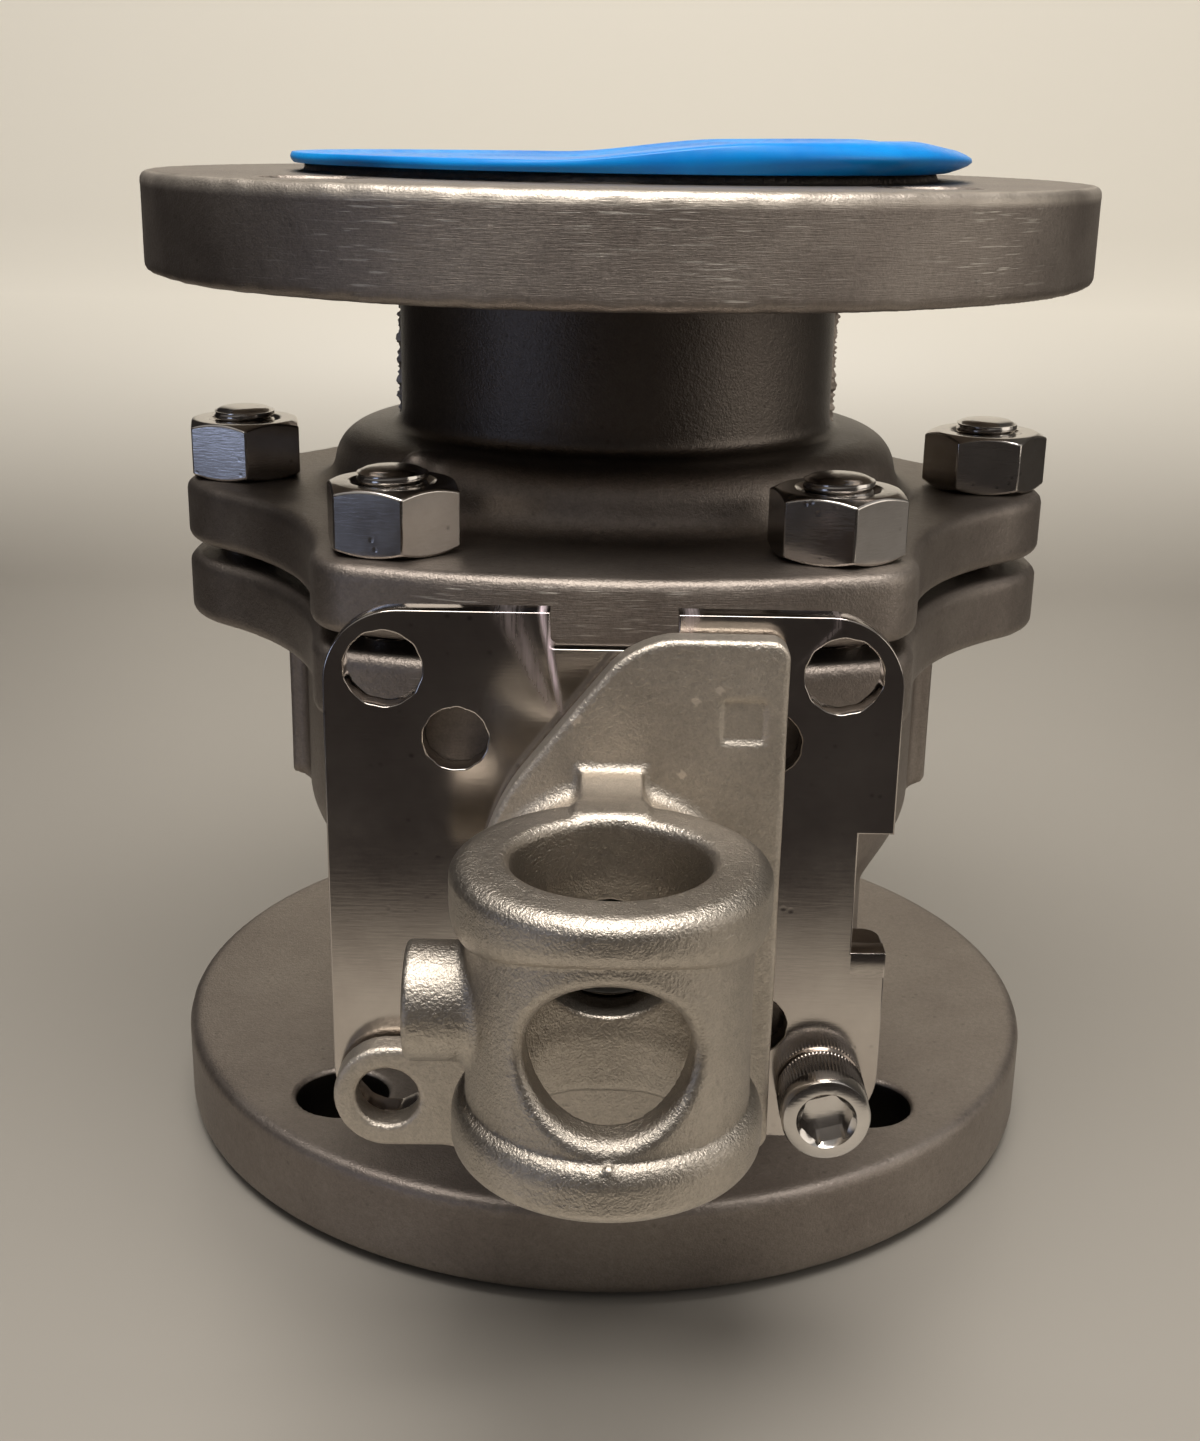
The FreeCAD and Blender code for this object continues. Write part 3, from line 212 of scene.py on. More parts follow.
def end_cap_field(x, y, z):
    """The end cap: upper flange, neck, shoulder, joint flange and spigot, less its bores."""
    out = np.hypot(x, y)
    low = JOINT_Z + JOINT_GAP
    under = FACE_TO_FACE - FLANGE_T
    edge = RIM_ROUND * (0.85 + 0.25 * knocks(x, y))
    flange = common(out - FLANGE_R, slab(z, under, FACE_TO_FACE - FACE_RISE), edge)
    flange = joined(flange, common(out - FACE_R, slab(z, under, FACE_TO_FACE), 0.5))
    neck = np.maximum(out - NECK_R, slab(z, low + 8.0, under + 8.0))
    shoulder = common(out - SHOULDER_R, slab(z, low + 2.0, SHOULDER_TOP + (SHOULDER_R - out) * 0.06), 7.5)
    block = common(joint_outline(x, y), slab(z, low, low + CAP_JOINT_T), JOINT_ROUND)
    body = joined(joined(block, shoulder, 6.0), neck, 2.5)
    nub = np.sqrt((x + 37.5) ** 2 + (y + 43.5) ** 2 + (z - SHOULDER_TOP + 2.2) ** 2) - 3.0
    body = joined(body, nub, 3.5)
    body = joined(body, flange, 3.0)
    outside = (out > SEAT_POCKET_R) * (z > low + 1.0) * (z < FACE_TO_FACE - 4.0)
    body = body + unevenness(x, y, z, 0.10, 9.0) * outside
    spigot = np.maximum(out - REGISTER_R + 0.1, slab(z, JOINT_Z - REGISTER_DEPTH + GASKET_T, low + 3.0))
    body = joined(body, spigot)
    body = cut(body, out - BORE_R, 0.8)
    body = cut(body, np.maximum(out - SEAT_POCKET_R, z - STEM_HEIGHT - SEAT_BACK))
    body = cut(body, np.sqrt(x * x + y * y + (z - STEM_HEIGHT) ** 2) - CHAMBER_IN)
    body = cut(body, np.maximum(flange_holes(x, y), under - 2.0 - z), 0.3)
    return cut(body, np.maximum(stud_holes(x, y, STUD_R + 0.5), z - low - CAP_JOINT_T - 3.0), 0.6)


def wing_outline(x, up):
    """The wing with its sloping edge, its foot and the padlock lug, seen along the stem."""
    slope = SLOPE_X * (up - WING_TOP) - SLOPE_UP * (x - SLOPE_TOP_X)
    slope = slope / math.hypot(SLOPE_X, SLOPE_UP)
    blade = common(x - WING_RIGHT, up - WING_TOP, 3.0)
    blade = common(blade, common(slope, WING_LEFT - x, 8.0), 5.0)
    lug_low, lug_high = -LARGE_HOLE - LUG_R, -LARGE_HOLE + LUG_R
    blade = common(blade, lug_low - up, 3.0)
    foot = np.maximum(slab(up, lug_low, lug_high), slab(x, -LARGE_HOLE, 10.0))
    lug = np.minimum(foot, np.hypot(x + LARGE_HOLE, up + LARGE_HOLE) - LUG_R)
    return joined(blade, lug, 6.0)


def ring_flare(ahead, up, out):
    """How far the socket's rings have swelled, 0 on the tube to 1. The upper one is shorter in front."""
    front = (up > 0.0) * np.clip(ahead / np.maximum(out, 1.0), 0.0, 1.0) ** 2
    start = np.where(up > 0.0, 10.8, 13.4)
    length = np.where(up > 0.0, 5.4, 3.6)
    share = np.clip((np.abs(up) - start - 4.4 * front) / (length - 2.2 * front), 0.0, 1.0)
    return (np.sqrt(share * (2.0 - share) + 0.01) - 0.1) / 0.905


def lever_head_field(x, y, z):
    """The lever head: wing, hub, web, socket with its rings and boss, less bore, window and holes."""
    along, up = -y, z - STEM_HEIGHT
    across = np.hypot(x, up)
    wing = common(wing_outline(x, up), slab(along, WING_BACK, WING_FACE), 0.9)
    hub = np.maximum(across - HUB_R, slab(along, WING_BACK, SOCKET_AXIS - 8.0))
    web = np.maximum(np.abs(x) - WEB_HALF, np.abs(up) - SOCKET_HALF)
    web = common(web, slab(along, WING_BACK + 2.0, 140.0), 1.2)
    head = joined(joined(wing, hub, 2.5), web, 1.6)
    out = np.hypot(x, along - SOCKET_AXIS)
    tube = out - TUBE_R - RING_PROUD * ring_flare(along - SOCKET_AXIS, up, out)
    tube = common(tube * 0.85, np.abs(up) - SOCKET_HALF, 2.6)
    head = joined(head, tube, 1.8)
    boss = common(np.hypot(along - SOCKET_AXIS, up) - BOSS_R, slab(x, -BOSS_END, -8.0), 0.9)
    head = joined(head, boss, 1.4)
    nub = np.sqrt((x - 0.3) ** 2 + (along - SOCKET_AXIS - 21.0) ** 2 + (up + 13.8) ** 2) - 0.6
    head = joined(head, nub, 0.6)
    head = head + unevenness(x, y, z, 0.10, 4.0)
    window = np.maximum(np.hypot(x, up - 0.4) - WINDOW_R, SOCKET_AXIS - along)
    head = cut(head, window, 2.4)
    bore_r = SOCKET_BORE_R + 0.4 * eased((13.6 - np.abs(up)) / 4.0)
    front = np.clip((along - SOCKET_AXIS) / 14.0, 0.0, 1.0)
    head = cut(head, out - bore_r, 0.3 + (1.2 - 0.5 * front) * eased((np.abs(up) - 15.0) / 3.0))
    recess = np.maximum(np.hypot(x, up + 0.25) - RECESS_R, slab(along, RECESS_BACK, SOCKET_AXIS))
    head = cut(head, recess, 0.35)
    square = bar(x, up, SQUARE_HALF, SQUARE_HALF, 0.8)
    head = cut(head, np.maximum(square, along - RECESS_BACK - 1.0), 0.4)
    head = cut(head, np.hypot(x + LARGE_HOLE, up + LARGE_HOLE) - LUG_HOLE_R, 0.8)
    set_screw = np.hypot(along - SOCKET_AXIS, up) - BOSS_HOLE_R
    head = cut(head, np.maximum(set_screw, x + SOCKET_BORE_R - 2.0), 0.5)
    mark = bar(x - MARK_X, up - MARK_UP, MARK_HALF, MARK_HALF, 0.6)
    return cut(head, np.maximum(mark, WING_FACE - MARK_DEPTH - along), 0.3)


# Meshes

def linked(name, mesh, smooth_angle=None):
    """A mesh as an object of the scene, smooth except where it bends by more than an angle in degrees."""
    made = bpy.data.objects.new(name, mesh)
    bpy.context.scene.collection.objects.link(made)
    mesh.shade_smooth()
    if smooth_angle is not None:
        mesh.set_sharp_from_angle(angle=math.radians(smooth_angle))
    return made


def object_from(name, points, faces, smooth_angle=None):
    """A mesh object from points in millimetres."""
    mesh = bpy.data.meshes.new(name)
    mesh.from_pydata((np.asarray(points, float) * MM).tolist(), [], [list(map(int, face)) for face in faces])
    mesh.validate()
    return linked(name, mesh, smooth_angle)


# The edges of a cell, each by the numbers of its two corners
EDGES = [(0, 1), (2, 3), (4, 5), (6, 7), (0, 2), (1, 3), (4, 6), (5, 7), (0, 4), (1, 5), (2, 6), (3, 7)]


def cell_points(depth, cells):
    """The middle of the places where a surface crosses the edges of each cell, in cells."""
    corners = np.array([[a, b, c] for a in (0, 1) for b in (0, 1) for c in (0, 1)])
    depths = [depth[tuple((cells + corner).T)] for corner in corners]
    total, count = np.zeros((len(cells), 3)), np.zeros((len(cells), 1))
    for first, second in EDGES:
        start, end = depths[first], depths[second]
        crossed = (start < 0) != (end < 0)
        share = np.where(crossed, start / np.where(crossed, start - end, 1.0), 0.0)[:, None]
        place = corners[first] + share * (corners[second] - corners[first])
        total += place * crossed[:, None]
        count += crossed[:, None]
    return cells + total / count


def settle(field, points, step, rounds=4):
    """Moves points along the field's slope onto its surface."""
    nudge = 0.01
    for _ in range(rounds):
        value = field(*points.T)
        slope = np.stack([(field(*(points + shift).T) - field(*(points - shift).T)) / (2 * nudge)
                          for shift in np.eye(3) * nudge], axis=1)
        steep = np.maximum((slope ** 2).sum(axis=1), 0.05)
        move = slope * (value / steep)[:, None]
        points = points - np.clip(move, -step / 2, step / 2)
    return points


def cast_mesh(name, field, low, high, step):
    """A closed mesh of four-sided faces on a field's surface, one point in each cell that it crosses."""
    x, y, z = (np.arange(start - step, end + 2 * step, step) for start, end in zip(low, high))
    depth = field(x[:, None, None], y[None, :, None], z[None, None, :])
    inside = depth < 0
    part = inside[:-1].astype(np.int8) + inside[1:]
    part = part[:, :-1] + part[:, 1:]
    part = part[:, :, :-1] + part[:, :, 1:]
    cells = np.argwhere((part > 0) & (part < 8))
    number = np.full(part.shape, -1, np.int64)
    number[tuple(cells.T)] = np.arange(len(cells))
    faces = []
    for axis in range(3):
        order = (axis, (axis + 1) % 3, (axis + 2) % 3)
        solid, numbers = inside.transpose(order), number.transpose(order)
        a, b, c = np.argwhere(solid[:-1] != solid[1:]).T
        ring = np.stack([numbers[a, b - 1, c - 1], numbers[a, b, c - 1], numbers[a, b, c],
                         numbers[a, b - 1, c]], axis=1)
        faces.append(np.where(solid[a, b, c][:, None], ring, ring[:, ::-1]))
    start = np.array([x[0], y[0], z[0]])
    points = settle(field, start + cell_points(depth, cells) * step, step)
    return object_from(name, points, np.concatenate(faces))


def lathe(name, rings, segments, smooth_angle=30.0):
    """A closed solid from rings of points. A ring is a function of the angle, giving radius and height."""
    angles = [2 * math.pi * place / segments for place in range(segments)]
    points = [(radius * math.cos(angle), radius * math.sin(angle), height)
              for ring in rings for angle in angles for radius, height in [ring(angle)]]
    faces = []
    for ring in range(len(rings)):
        after = (ring + 1) % len(rings)
        for place in range(segments):
            nearby = (place + 1) % segments
            faces.append((ring * segments + place, ring * segments + nearby,
                          after * segments + nearby, after * segments + place))
    return object_from(name, points, faces, smooth_angle)


def level(radius, height):
    return lambda angle: (radius, height)


def softened(piece, width, least_angle=28.0):
    """Round off a piece's sharp edges a little, so that they catch the light."""
    bevel = piece.modifiers.new("soft edges", "BEVEL")
    bevel.width = width * MM
    bevel.segments = 2
    bevel.limit_method = "ANGLE"
    bevel.angle_limit = math.radians(least_angle)
    with bpy.context.temp_override(object=piece, active_object=piece):
        bpy.ops.object.modifier_apply(modifier=bevel.name)
    return piece


def placed(piece, matrix):
    piece.data.transform(matrix)
    return piece


def together(name, pieces):
    """One object from several."""
    with bpy.context.temp_override(active_object=pieces[0], selected_editable_objects=pieces):
        bpy.ops.object.join()
    pieces[0].name = name
    pieces[0].data.name = name
    return pieces[0]


def stem_side(x, up, along):
    """The turn and shift that take a piece from its own Z to the stem's direction."""
    place = Matrix.Translation(Vector((x, -along, STEM_HEIGHT + up)) * MM)
    return place @ Matrix.Rotation(math.radians(90), 4, "X")


# Camera, light and stage

FOCAL_PX, PHOTO_HEIGHT_PX, SENSOR_MM = 1797.0, 1441.0, 36.0
CAMERA_PLACE = (-0.0015, -0.3825, 0.2105)


def add_camera():
    """The photograph's camera, found from both flanges of the real valve."""
    yaw, pitch, roll = math.radians(-0.10), math.radians(18.23), math.radians(1.00)
    ahead = Vector((math.sin(yaw) * math.cos(pitch), math.cos(yaw) * math.cos(pitch), -math.sin(pitch)))
    right = Vector((math.cos(yaw), -math.sin(yaw), 0.0))
    up = right.cross(ahead)
    turned_right = math.cos(roll) * right + math.sin(roll) * up
    turned_up = math.cos(roll) * up - math.sin(roll) * right
    data = bpy.data.cameras.new("camera")
    data.sensor_width = SENSOR_MM
    data.lens = SENSOR_MM * FOCAL_PX / PHOTO_HEIGHT_PX
    data.clip_start = 0.01
    camera = bpy.data.objects.new("camera", data)
    bpy.context.scene.collection.objects.link(camera)
    axes = Matrix((turned_right, turned_up, -ahead)).transposed()
    camera.matrix_world = Matrix.Translation(CAMERA_PLACE) @ axes.to_4x4()
    bpy.context.scene.camera = camera


def add_lamp(name, place, aim, size, power, colour=(1.0, 1.0, 1.0)):
    data = bpy.data.lights.new(name, "AREA")
    data.shape = "RECTANGLE"
    data.size, data.size_y = size
    data.energy = power
    data.color = colour
    lamp = bpy.data.objects.new(name, data)
    lamp.location = place
    lamp.rotation_euler = (Vector(aim) - Vector(place)).to_track_quat("-Z", "Y").to_euler()
    lamp.visible_camera = False
    bpy.context.scene.collection.objects.link(lamp)


def add_stage():
    """A pale floor that runs up into a pale wall behind."""
    near, far, half, bend, top, steps = -1.6, 0.62, 2.4, 0.16, 1.8, 12
    profile = [(near, 0.0), (far - bend, 0.0)]
    for step in range(1, steps + 1):
        angle = math.radians(90) * step / steps
        profile.append((far - bend + bend * math.sin(angle), bend - bend * math.cos(angle)))
    profile.append((far, top))
    points = [(x / MM, y / MM, z / MM) for x in (-half, half) for y, z in profile]
    count = len(profile)
    faces = [(place, place + count, place + count + 1, place + 1) for place in range(count - 1)]
    stage = object_from("stage", points, faces)
    stage.data.materials.append(stage_finish())


# Finishes

def node(tree, kind, inputs=None, **settings):
    """A shader node with its settings, its constants and its incoming links."""
    made = tree.nodes.new(f"ShaderNode{kind}")
    for name, value in settings.items():
        setattr(made, name, value)
    for socket, value in (inputs or {}).items():
        if isinstance(value, bpy.types.NodeSocket):
            tree.links.new(value, made.inputs[socket])
        else:
            made.inputs[socket].default_value = value
    return made


def maths(tree, operation, *values):
    return node(tree, "Math", dict(enumerate(values)), operation=operation).outputs[0]


def product(tree, first, *others):
    """Values multiplied one after the other."""
    for other in others:
        first = maths(tree, "MULTIPLY", first, other)
    return first


def blend_colour(tree, share, first, second):
    return node(tree, "Mix", {0: share, 6: first, 7: second}, data_type="RGBA").outputs[2]


def scaled_colour(tree, colour, scale):
    return node(tree, "VectorMath", {0: colour, "Scale": scale}, operation="SCALE").outputs[0]


def span(tree, value, low, high, start=0.0, end=1.0):
    """A value between low and high as a share between start and end."""
    inputs = {"Value": value, "From Min": low, "From Max": high, "To Min": start, "To Max": end}
    return node(tree, "MapRange", inputs).outputs["Result"]


def band(tree, value, low, high, start=0.0, end=1.0):
    """As span, with low and high in millimetres."""
    return span(tree, value, low * MM, high * MM, start, end)


def spot(tree):
    """The shaded point in the CAD frame, in metres."""
    return node(tree, "TexCoord").outputs["Object"]


def spot_parts(tree):
    parts = node(tree, "SeparateXYZ", {0: spot(tree)}).outputs
    return parts["X"], parts["Y"], parts["Z"]


def drawn_out(tree, x, y, z):
    """The shaded point with X, Y and Z scaled, so that noise on it is drawn out into lines."""
    scale = node(tree, "CombineXYZ", {"X": x, "Y": y, "Z": z}).outputs[0]
    return node(tree, "VectorMath", {0: spot(tree), 1: scale}, operation="MULTIPLY").outputs[0]


def noise(tree, place, scale, detail=2.0, roughness=0.5):
    inputs = {"Vector": place, "Scale": scale, "Detail": detail, "Roughness": roughness}
    return node(tree, "TexNoise", inputs).outputs[0]


def new_group(name, inputs, outputs):
    """A node group, with a usual value for each input, and its inner ends."""
    group = bpy.data.node_groups.new(name, "ShaderNodeTree")
    for label, value in inputs.items():
        socket = group.interface.new_socket(label, in_out="INPUT", socket_type="NodeSocketFloat")
        socket.default_value = value
    for label in outputs:
        group.interface.new_socket(label, in_out="OUTPUT", socket_type="NodeSocketFloat")
    given, result = group.nodes.new("NodeGroupInput"), group.nodes.new("NodeGroupOutput")
    return group, given.outputs, result.inputs


def blasted_skin():
    """The grain of a shot blasted casting: fine bumps, Grain of them to a mm, and here and there a pit."""
    group, given, result = new_group("blasted skin", {"Grain": 1.0, "Pits": 0.5}, ("Height", "Pit", "Cloud"))
    place = spot(group)
    scale = product(group, given["Grain"], 1.0 / MM)
    fine = noise(group, place, scale, 3.0, 0.6)
    coarse = noise(group, place, product(group, scale, 0.35))
    cells = node(group, "TexVoronoi", {"Vector": place, "Scale": 380.0}).outputs["Distance"]
    rare = span(group, noise(group, place, 160.0), 0.52, 0.62)
    pit = product(group, span(group, cells, 0.22, 0.05), rare, given["Pits"])
    height = maths(group, "ADD", fine, product(group, coarse, 0.7))
    group.links.new(maths(group, "SUBTRACT", height, pit), result["Height"])
    group.links.new(pit, result["Pit"])
    group.links.new(noise(group, place, 35.0, 4.0, 0.65), result["Cloud"])
    return group


def level_scratches():
    """Short level scratches left by turning a rim, and a mask of the few that get painted as glints."""
    group, _, result = new_group("level scratches", {}, ("Line", "Glint"))
    place = drawn_out(group, 240.0, 240.0, 5600.0)
    sparse = noise(group, place, 0.55, 1.0)
    group.links.new(noise(group, place, 1.0, 3.0, 0.7), result["Line"])
    group.links.new(span(group, sparse, 0.62, 0.70), result["Glint"])
    return group


def edge_highlight_and_hollow_shade():
    """Painted highlight where an edge stands out, and painted shade where a corner is sunk."""
    group, _, result = new_group("edge highlight and hollow shade", {}, ("Edge", "HollowShade"))
    bend = node(group, "NewGeometry").outputs["Pointiness"]
    group.links.new(span(group, bend, 0.535, 0.60), result["Edge"])
    group.links.new(span(group, bend, 0.48, 0.42), result["HollowShade"])
    return group


GROUPS = {}


def effect(tree, make, inputs=None):
    """One of the shared effects, made once and placed in a material."""
    if make.__name__ not in GROUPS:
        GROUPS[make.__name__] = make()
    return node(tree, "Group", inputs, node_tree=GROUPS[make.__name__]).outputs


def new_finish(name, metallic, roughness=0.5, **constants):
    """A material with one Principled shader, and its constants on the shader's own sockets."""
    material = bpy.data.materials.new(name)
    material.use_nodes = True
    tree = material.node_tree
    tree.nodes.clear()
    inputs = {socket.replace("_", " "): value for socket, value in constants.items()}
    shader = node(tree, "BsdfPrincipled", {"Metallic": metallic, "Roughness": roughness, **inputs})
    node(tree, "OutputMaterial", {0: shader.outputs[0]})
    return material, tree, shader


def set_surface(tree, shader, colour, rough, height, relief, depth):
    """Colour, roughness and bumps of a shader. The bumps' depth is in metres."""
    bump = node(tree, "Bump", {"Height": height, "Strength": relief, "Distance": depth})
    tree.links.new(colour, shader.inputs["Base Color"])
    tree.links.new(rough, shader.inputs["Roughness"])
    tree.links.new(bump.outputs[0], shader.inputs["Normal"])


# Colours of painted light. Painted shade: sunk corners, pits, the neck and bolt holes. Painted highlights:
# scratch glints and the upper flange's top edge. Painted reflection: the plate's streaks.
CORNER_PAINTED_SHADE = (0.08, 0.07, 0.06, 1.0)
CAST_PIT_PAINTED_SHADE = (0.06, 0.05, 0.045, 1.0)
SCRATCH_PAINTED_GLINT = (0.80, 0.75, 0.68, 1.0)
NECK_PAINTED_SHADE = (0.05, 0.042, 0.036, 1.0)
BOLT_HOLE_PAINTED_SHADE = (0.03, 0.026, 0.022, 1.0)
CREST_PAINTED_HIGHLIGHT = (0.62, 0.56, 0.49, 1.0)
PIT_PAINTED_SHADE = (0.05, 0.04, 0.04, 1.0)
STREAK_PAINTED_REFLECTION = (0.98, 0.84, 0.90, 1.0)


def flange_marks_and_painted_light(tree, colour, rough, height):
    """Rims scratched by turning, with painted glints; painted shade on the neck and in the lower bolt holes;
    a painted highlight along the upper flange's top edge.
    """
    x, y, z = spot_parts(tree)
    out = maths(tree, "SQRT", maths(tree, "ADD", product(tree, x, x), product(tree, y, y)))
    normal = node(tree, "NewGeometry").outputs["Normal"]
    slope = maths(tree, "ABSOLUTE", node(tree, "SeparateXYZ", {0: normal}).outputs["Z"])
    upright = span(tree, slope, 0.5, 0.2)
    patchy = noise(tree, spot(tree), 40.0)
    # The middle of the upper rim, and the front of the joint flanges
    rim = product(tree, band(tree, out, FLANGE_R - 0.8, FLANGE_R - 0.3), band(tree, z, 150.0, 160.0),
                  band(tree, x, -70.0, -30.0), band(tree, x, 78.0, 62.0))
    front = product(tree, band(tree, y, 5.0 - JOINT_REACH, 2.5 - JOINT_REACH), band(tree, z, 100.0, 110.0))
    turned = product(tree, maths(tree, "MAXIMUM", rim, front), upright)
    scratches = effect(tree, level_scratches)
    # Painted glints: a few of the turning scratches are painted bright.
    glint = product(tree, scratches["Glint"], turned, span(tree, patchy, 0.42, 0.6), 0.75)
    colour = blend_colour(tree, glint, colour, SCRATCH_PAINTED_GLINT)
    rough = maths(tree, "ADD", rough, product(tree, turned, 0.06))
    height = node(tree, "Mix", {0: product(tree, turned, 0.7), 2: height,
                                3: product(tree, scratches["Line"], 1.4)}).outputs[0]
    # Painted shade on the neck under the upper flange; the neck is also made a little smoother.
    neck = product(tree, band(tree, out, 60.0, 52.0), band(tree, z, 143.0, 150.0),
                   band(tree, z, 187.0, 183.0))
    colour = blend_colour(tree, product(tree, neck, 0.6), colour, NECK_PAINTED_SHADE)
    rough = maths(tree, "SUBTRACT", rough, product(tree, neck, 0.10))
    # The walls of the lower flange's bolt holes, painted with shade
    bolt_hole_shade = product(tree, band(tree, out, 65.5, 66.5), band(tree, out, 86.8, 85.8),
                      band(tree, z, FLANGE_T + 0.3, FLANGE_T - 0.3), upright)
    colour = blend_colour(tree, bolt_hole_shade, colour, BOLT_HOLE_PAINTED_SHADE)
    # Painted highlight, in patches, along the upper flange's rounded top edge.
    crest_highlight = product(tree, band(tree, out, FLANGE_R - 2.2, FLANGE_R - 1.2), band(tree, z, 198.8, 199.8),
                    span(tree, patchy, 0.30, 0.55, 0.3, 0.9))
    return blend_colour(tree, crest_highlight, colour, CREST_PAINTED_HIGHLIGHT), rough, height


def wing_duller_and_painted_lighter(tree, colour, rough, height):
    """The lever's flat wing is painted a little lighter, standing in for light from the front, and is duller
    than its socket.
    """
    _, y, _ = spot_parts(tree)
    flat = band(tree, y, -132.0, -127.0)
    # Painted light: the wing's front face is painted lighter.
    colour = scaled_colour(tree, colour, span(tree, flat, 0.0, 1.0, 1.0, 1.12))
    return colour, maths(tree, "ADD", rough, product(tree, flat, 0.09)), height


def casting_finish(name, dark, light, roughness, grain, pits, relief, marks_and_painted_light):
    """A shot blasted casting, with painted shade in sunk corners and pits and painted highlights on its
    edges. Its last argument changes colour, roughness and height by place.
    """
    material, tree, shader = new_finish(name, 1.0)
    skin = effect(tree, blasted_skin, {"Grain": grain, "Pits": pits})
    painted_edge_and_hollow = effect(tree, edge_highlight_and_hollow_shade)
    colour = blend_colour(tree, span(tree, skin["Cloud"], 0.35, 0.68), dark, light)
    # Painted shade in sunk corners.
    colour = blend_colour(tree, product(tree, painted_edge_and_hollow["HollowShade"], 0.5), colour, CORNER_PAINTED_SHADE)
    # Painted shade in the pits.
    colour = blend_colour(tree, product(tree, skin["Pit"], 0.6), colour, CAST_PIT_PAINTED_SHADE)
    colour = scaled_colour(tree, colour, span(tree, skin["Height"], 0.60, 1.10, 0.88, 1.12))
    rough = maths(tree, "ADD", roughness - 0.08, product(tree, skin["Cloud"], 0.16))
    colour, rough, height = marks_and_painted_light(tree, colour, rough, skin["Height"])
    # Painted highlight on edges that stand out, in a lighter copy of the casting's colour.
    bright = tuple(min(1.0, 1.9 * part) for part in light[:3]) + (1.0,)
    colour = blend_colour(tree, product(tree, painted_edge_and_hollow["Edge"], 0.55), colour, bright)
    set_surface(tree, shader, colour, rough, height, relief, 0.0002)
    return material


# Streaks rubbed dull on the plate, which also carry a painted reflection: x and height over the stem of both
# ends, half widths there, and strength
RUBBED = [(-11.2, 45.6, -8.0, 29.0, 0.75, 0.45, 1.0), (-16.5, 45.6, -9.4, 29.0, 2.4, 0.5, 0.5),
          (12.0, 45.6, 11.2, 42.0, 1.4, 0.8, 0.8), (34.6, 44.0, 28.4, 37.4, 0.7, 0.5, 0.4)]


def dull_and_painted_reflection_streaks():
    """A mask of the streaks that were rubbed dull on the plate's face, and that carry a painted reflection.
    """
    group, _, result = new_group("dull and painted reflection streaks", {}, ("Mask",))
    x, _, z = spot_parts(group)
    mask = 0.0
    for top_x, top, low_x, low, top_half, low_half, strength in RUBBED:
        top_z, low_z = STEM_HEIGHT + top, STEM_HEIGHT + low
        middle = band(group, z, low_z, top_z, low_x * MM, top_x * MM)
        half = band(group, z, low_z, top_z, low_half * MM, top_half * MM)
        aside = maths(group, "ABSOLUTE", maths(group, "SUBTRACT", x, middle))
        near = span(group, maths(group, "DIVIDE", aside, half), 1.5, 0.3, 0.0, strength)
        near = product(group, near, band(group, z, low_z - 1.0, low_z + 5.0))
        mask = maths(group, "MAXIMUM", mask, near)
    lines = noise(group, drawn_out(group, 2600.0, 100.0, 160.0), 1.0, 3.0)
    mask = product(group, mask, span(group, lines, 0.3, 0.6, 0.45, 1.0))
    group.links.new(mask, result["Mask"])
    return group


def polished_finish(name, dark, light, smooth, dull, relief, rubbed=False):
    """Polished steel with fine pits painted with shade, faint wiping lines and smears. The plate's streaks
    are rubbed dull and carry a painted reflection.
    """
    material, tree, shader = new_finish(name, 1.0)
    smear = noise(tree, spot(tree), 45.0, 5.0, 0.7)
    skin = effect(tree, blasted_skin, {"Grain": 0.5, "Pits": 1.0})
    wiping = noise(tree, drawn_out(tree, 240.0, 900.0, 2400.0), 1.0, 4.0)
    colour = blend_colour(tree, span(tree, smear, 0.35, 0.65), dark, light)
    # Painted shade in the fine pits.
    colour = blend_colour(tree, product(tree, skin["Pit"], 0.5), colour, PIT_PAINTED_SHADE)
    rough = span(tree, smear, 0.3, 0.7, smooth, dull)
    rough = maths(tree, "ADD", rough, product(tree, wiping, 0.03))
    if rubbed:
        mask = effect(tree, dull_and_painted_reflection_streaks)["Mask"]
        # Painted reflection: a bright pink streak in the colour, where the streaks are also duller.
        colour = blend_colour(tree, mask, colour, STREAK_PAINTED_REFLECTION)
        rough = maths(tree, "ADD", rough, product(tree, mask, 0.55))
    height = maths(tree, "SUBTRACT", product(tree, wiping, 0.5), skin["Pit"])
    set_surface(tree, shader, colour, rough, height, relief, 0.0001)
    return material


def plastic_finish(name, colour, shade, roughness, grain, relief, **constants):
    """Moulded plastic or graphite, with slow changes of colour and a fine skin."""
    material, tree, shader = new_finish(name, 0.0, **constants)
    cloud = noise(tree, spot(tree), 60.0, 4.0)
    skin = noise(tree, spot(tree), grain, 3.0)
    mixed = blend_colour(tree, span(tree, cloud, 0.35, 0.65), shade, colour)
    rough = span(tree, skin, 0.3, 0.7, roughness - 0.06, roughness + 0.06)
    set_surface(tree, shader, mixed, rough, skin, relief, 0.0002)
    return material


FLOOR_COLOUR = (0.29, 0.27, 0.24, 1.0)
WALL_COLOUR = (0.93, 0.885, 0.78, 1.0)
FLOOR_MIRRORED = (0.46, 0.43, 0.38, 1.0)
REFLECTION_DARK_BEYOND = (0.022, 0.018, 0.017, 1.0)
ROOM_DARK = (0.042, 0.036, 0.032, 1.0)
ROOM_LIT = (0.50, 0.465, 0.42, 1.0)
ROOM_OVERHEAD = (0.62, 0.60, 0.58, 1.0)


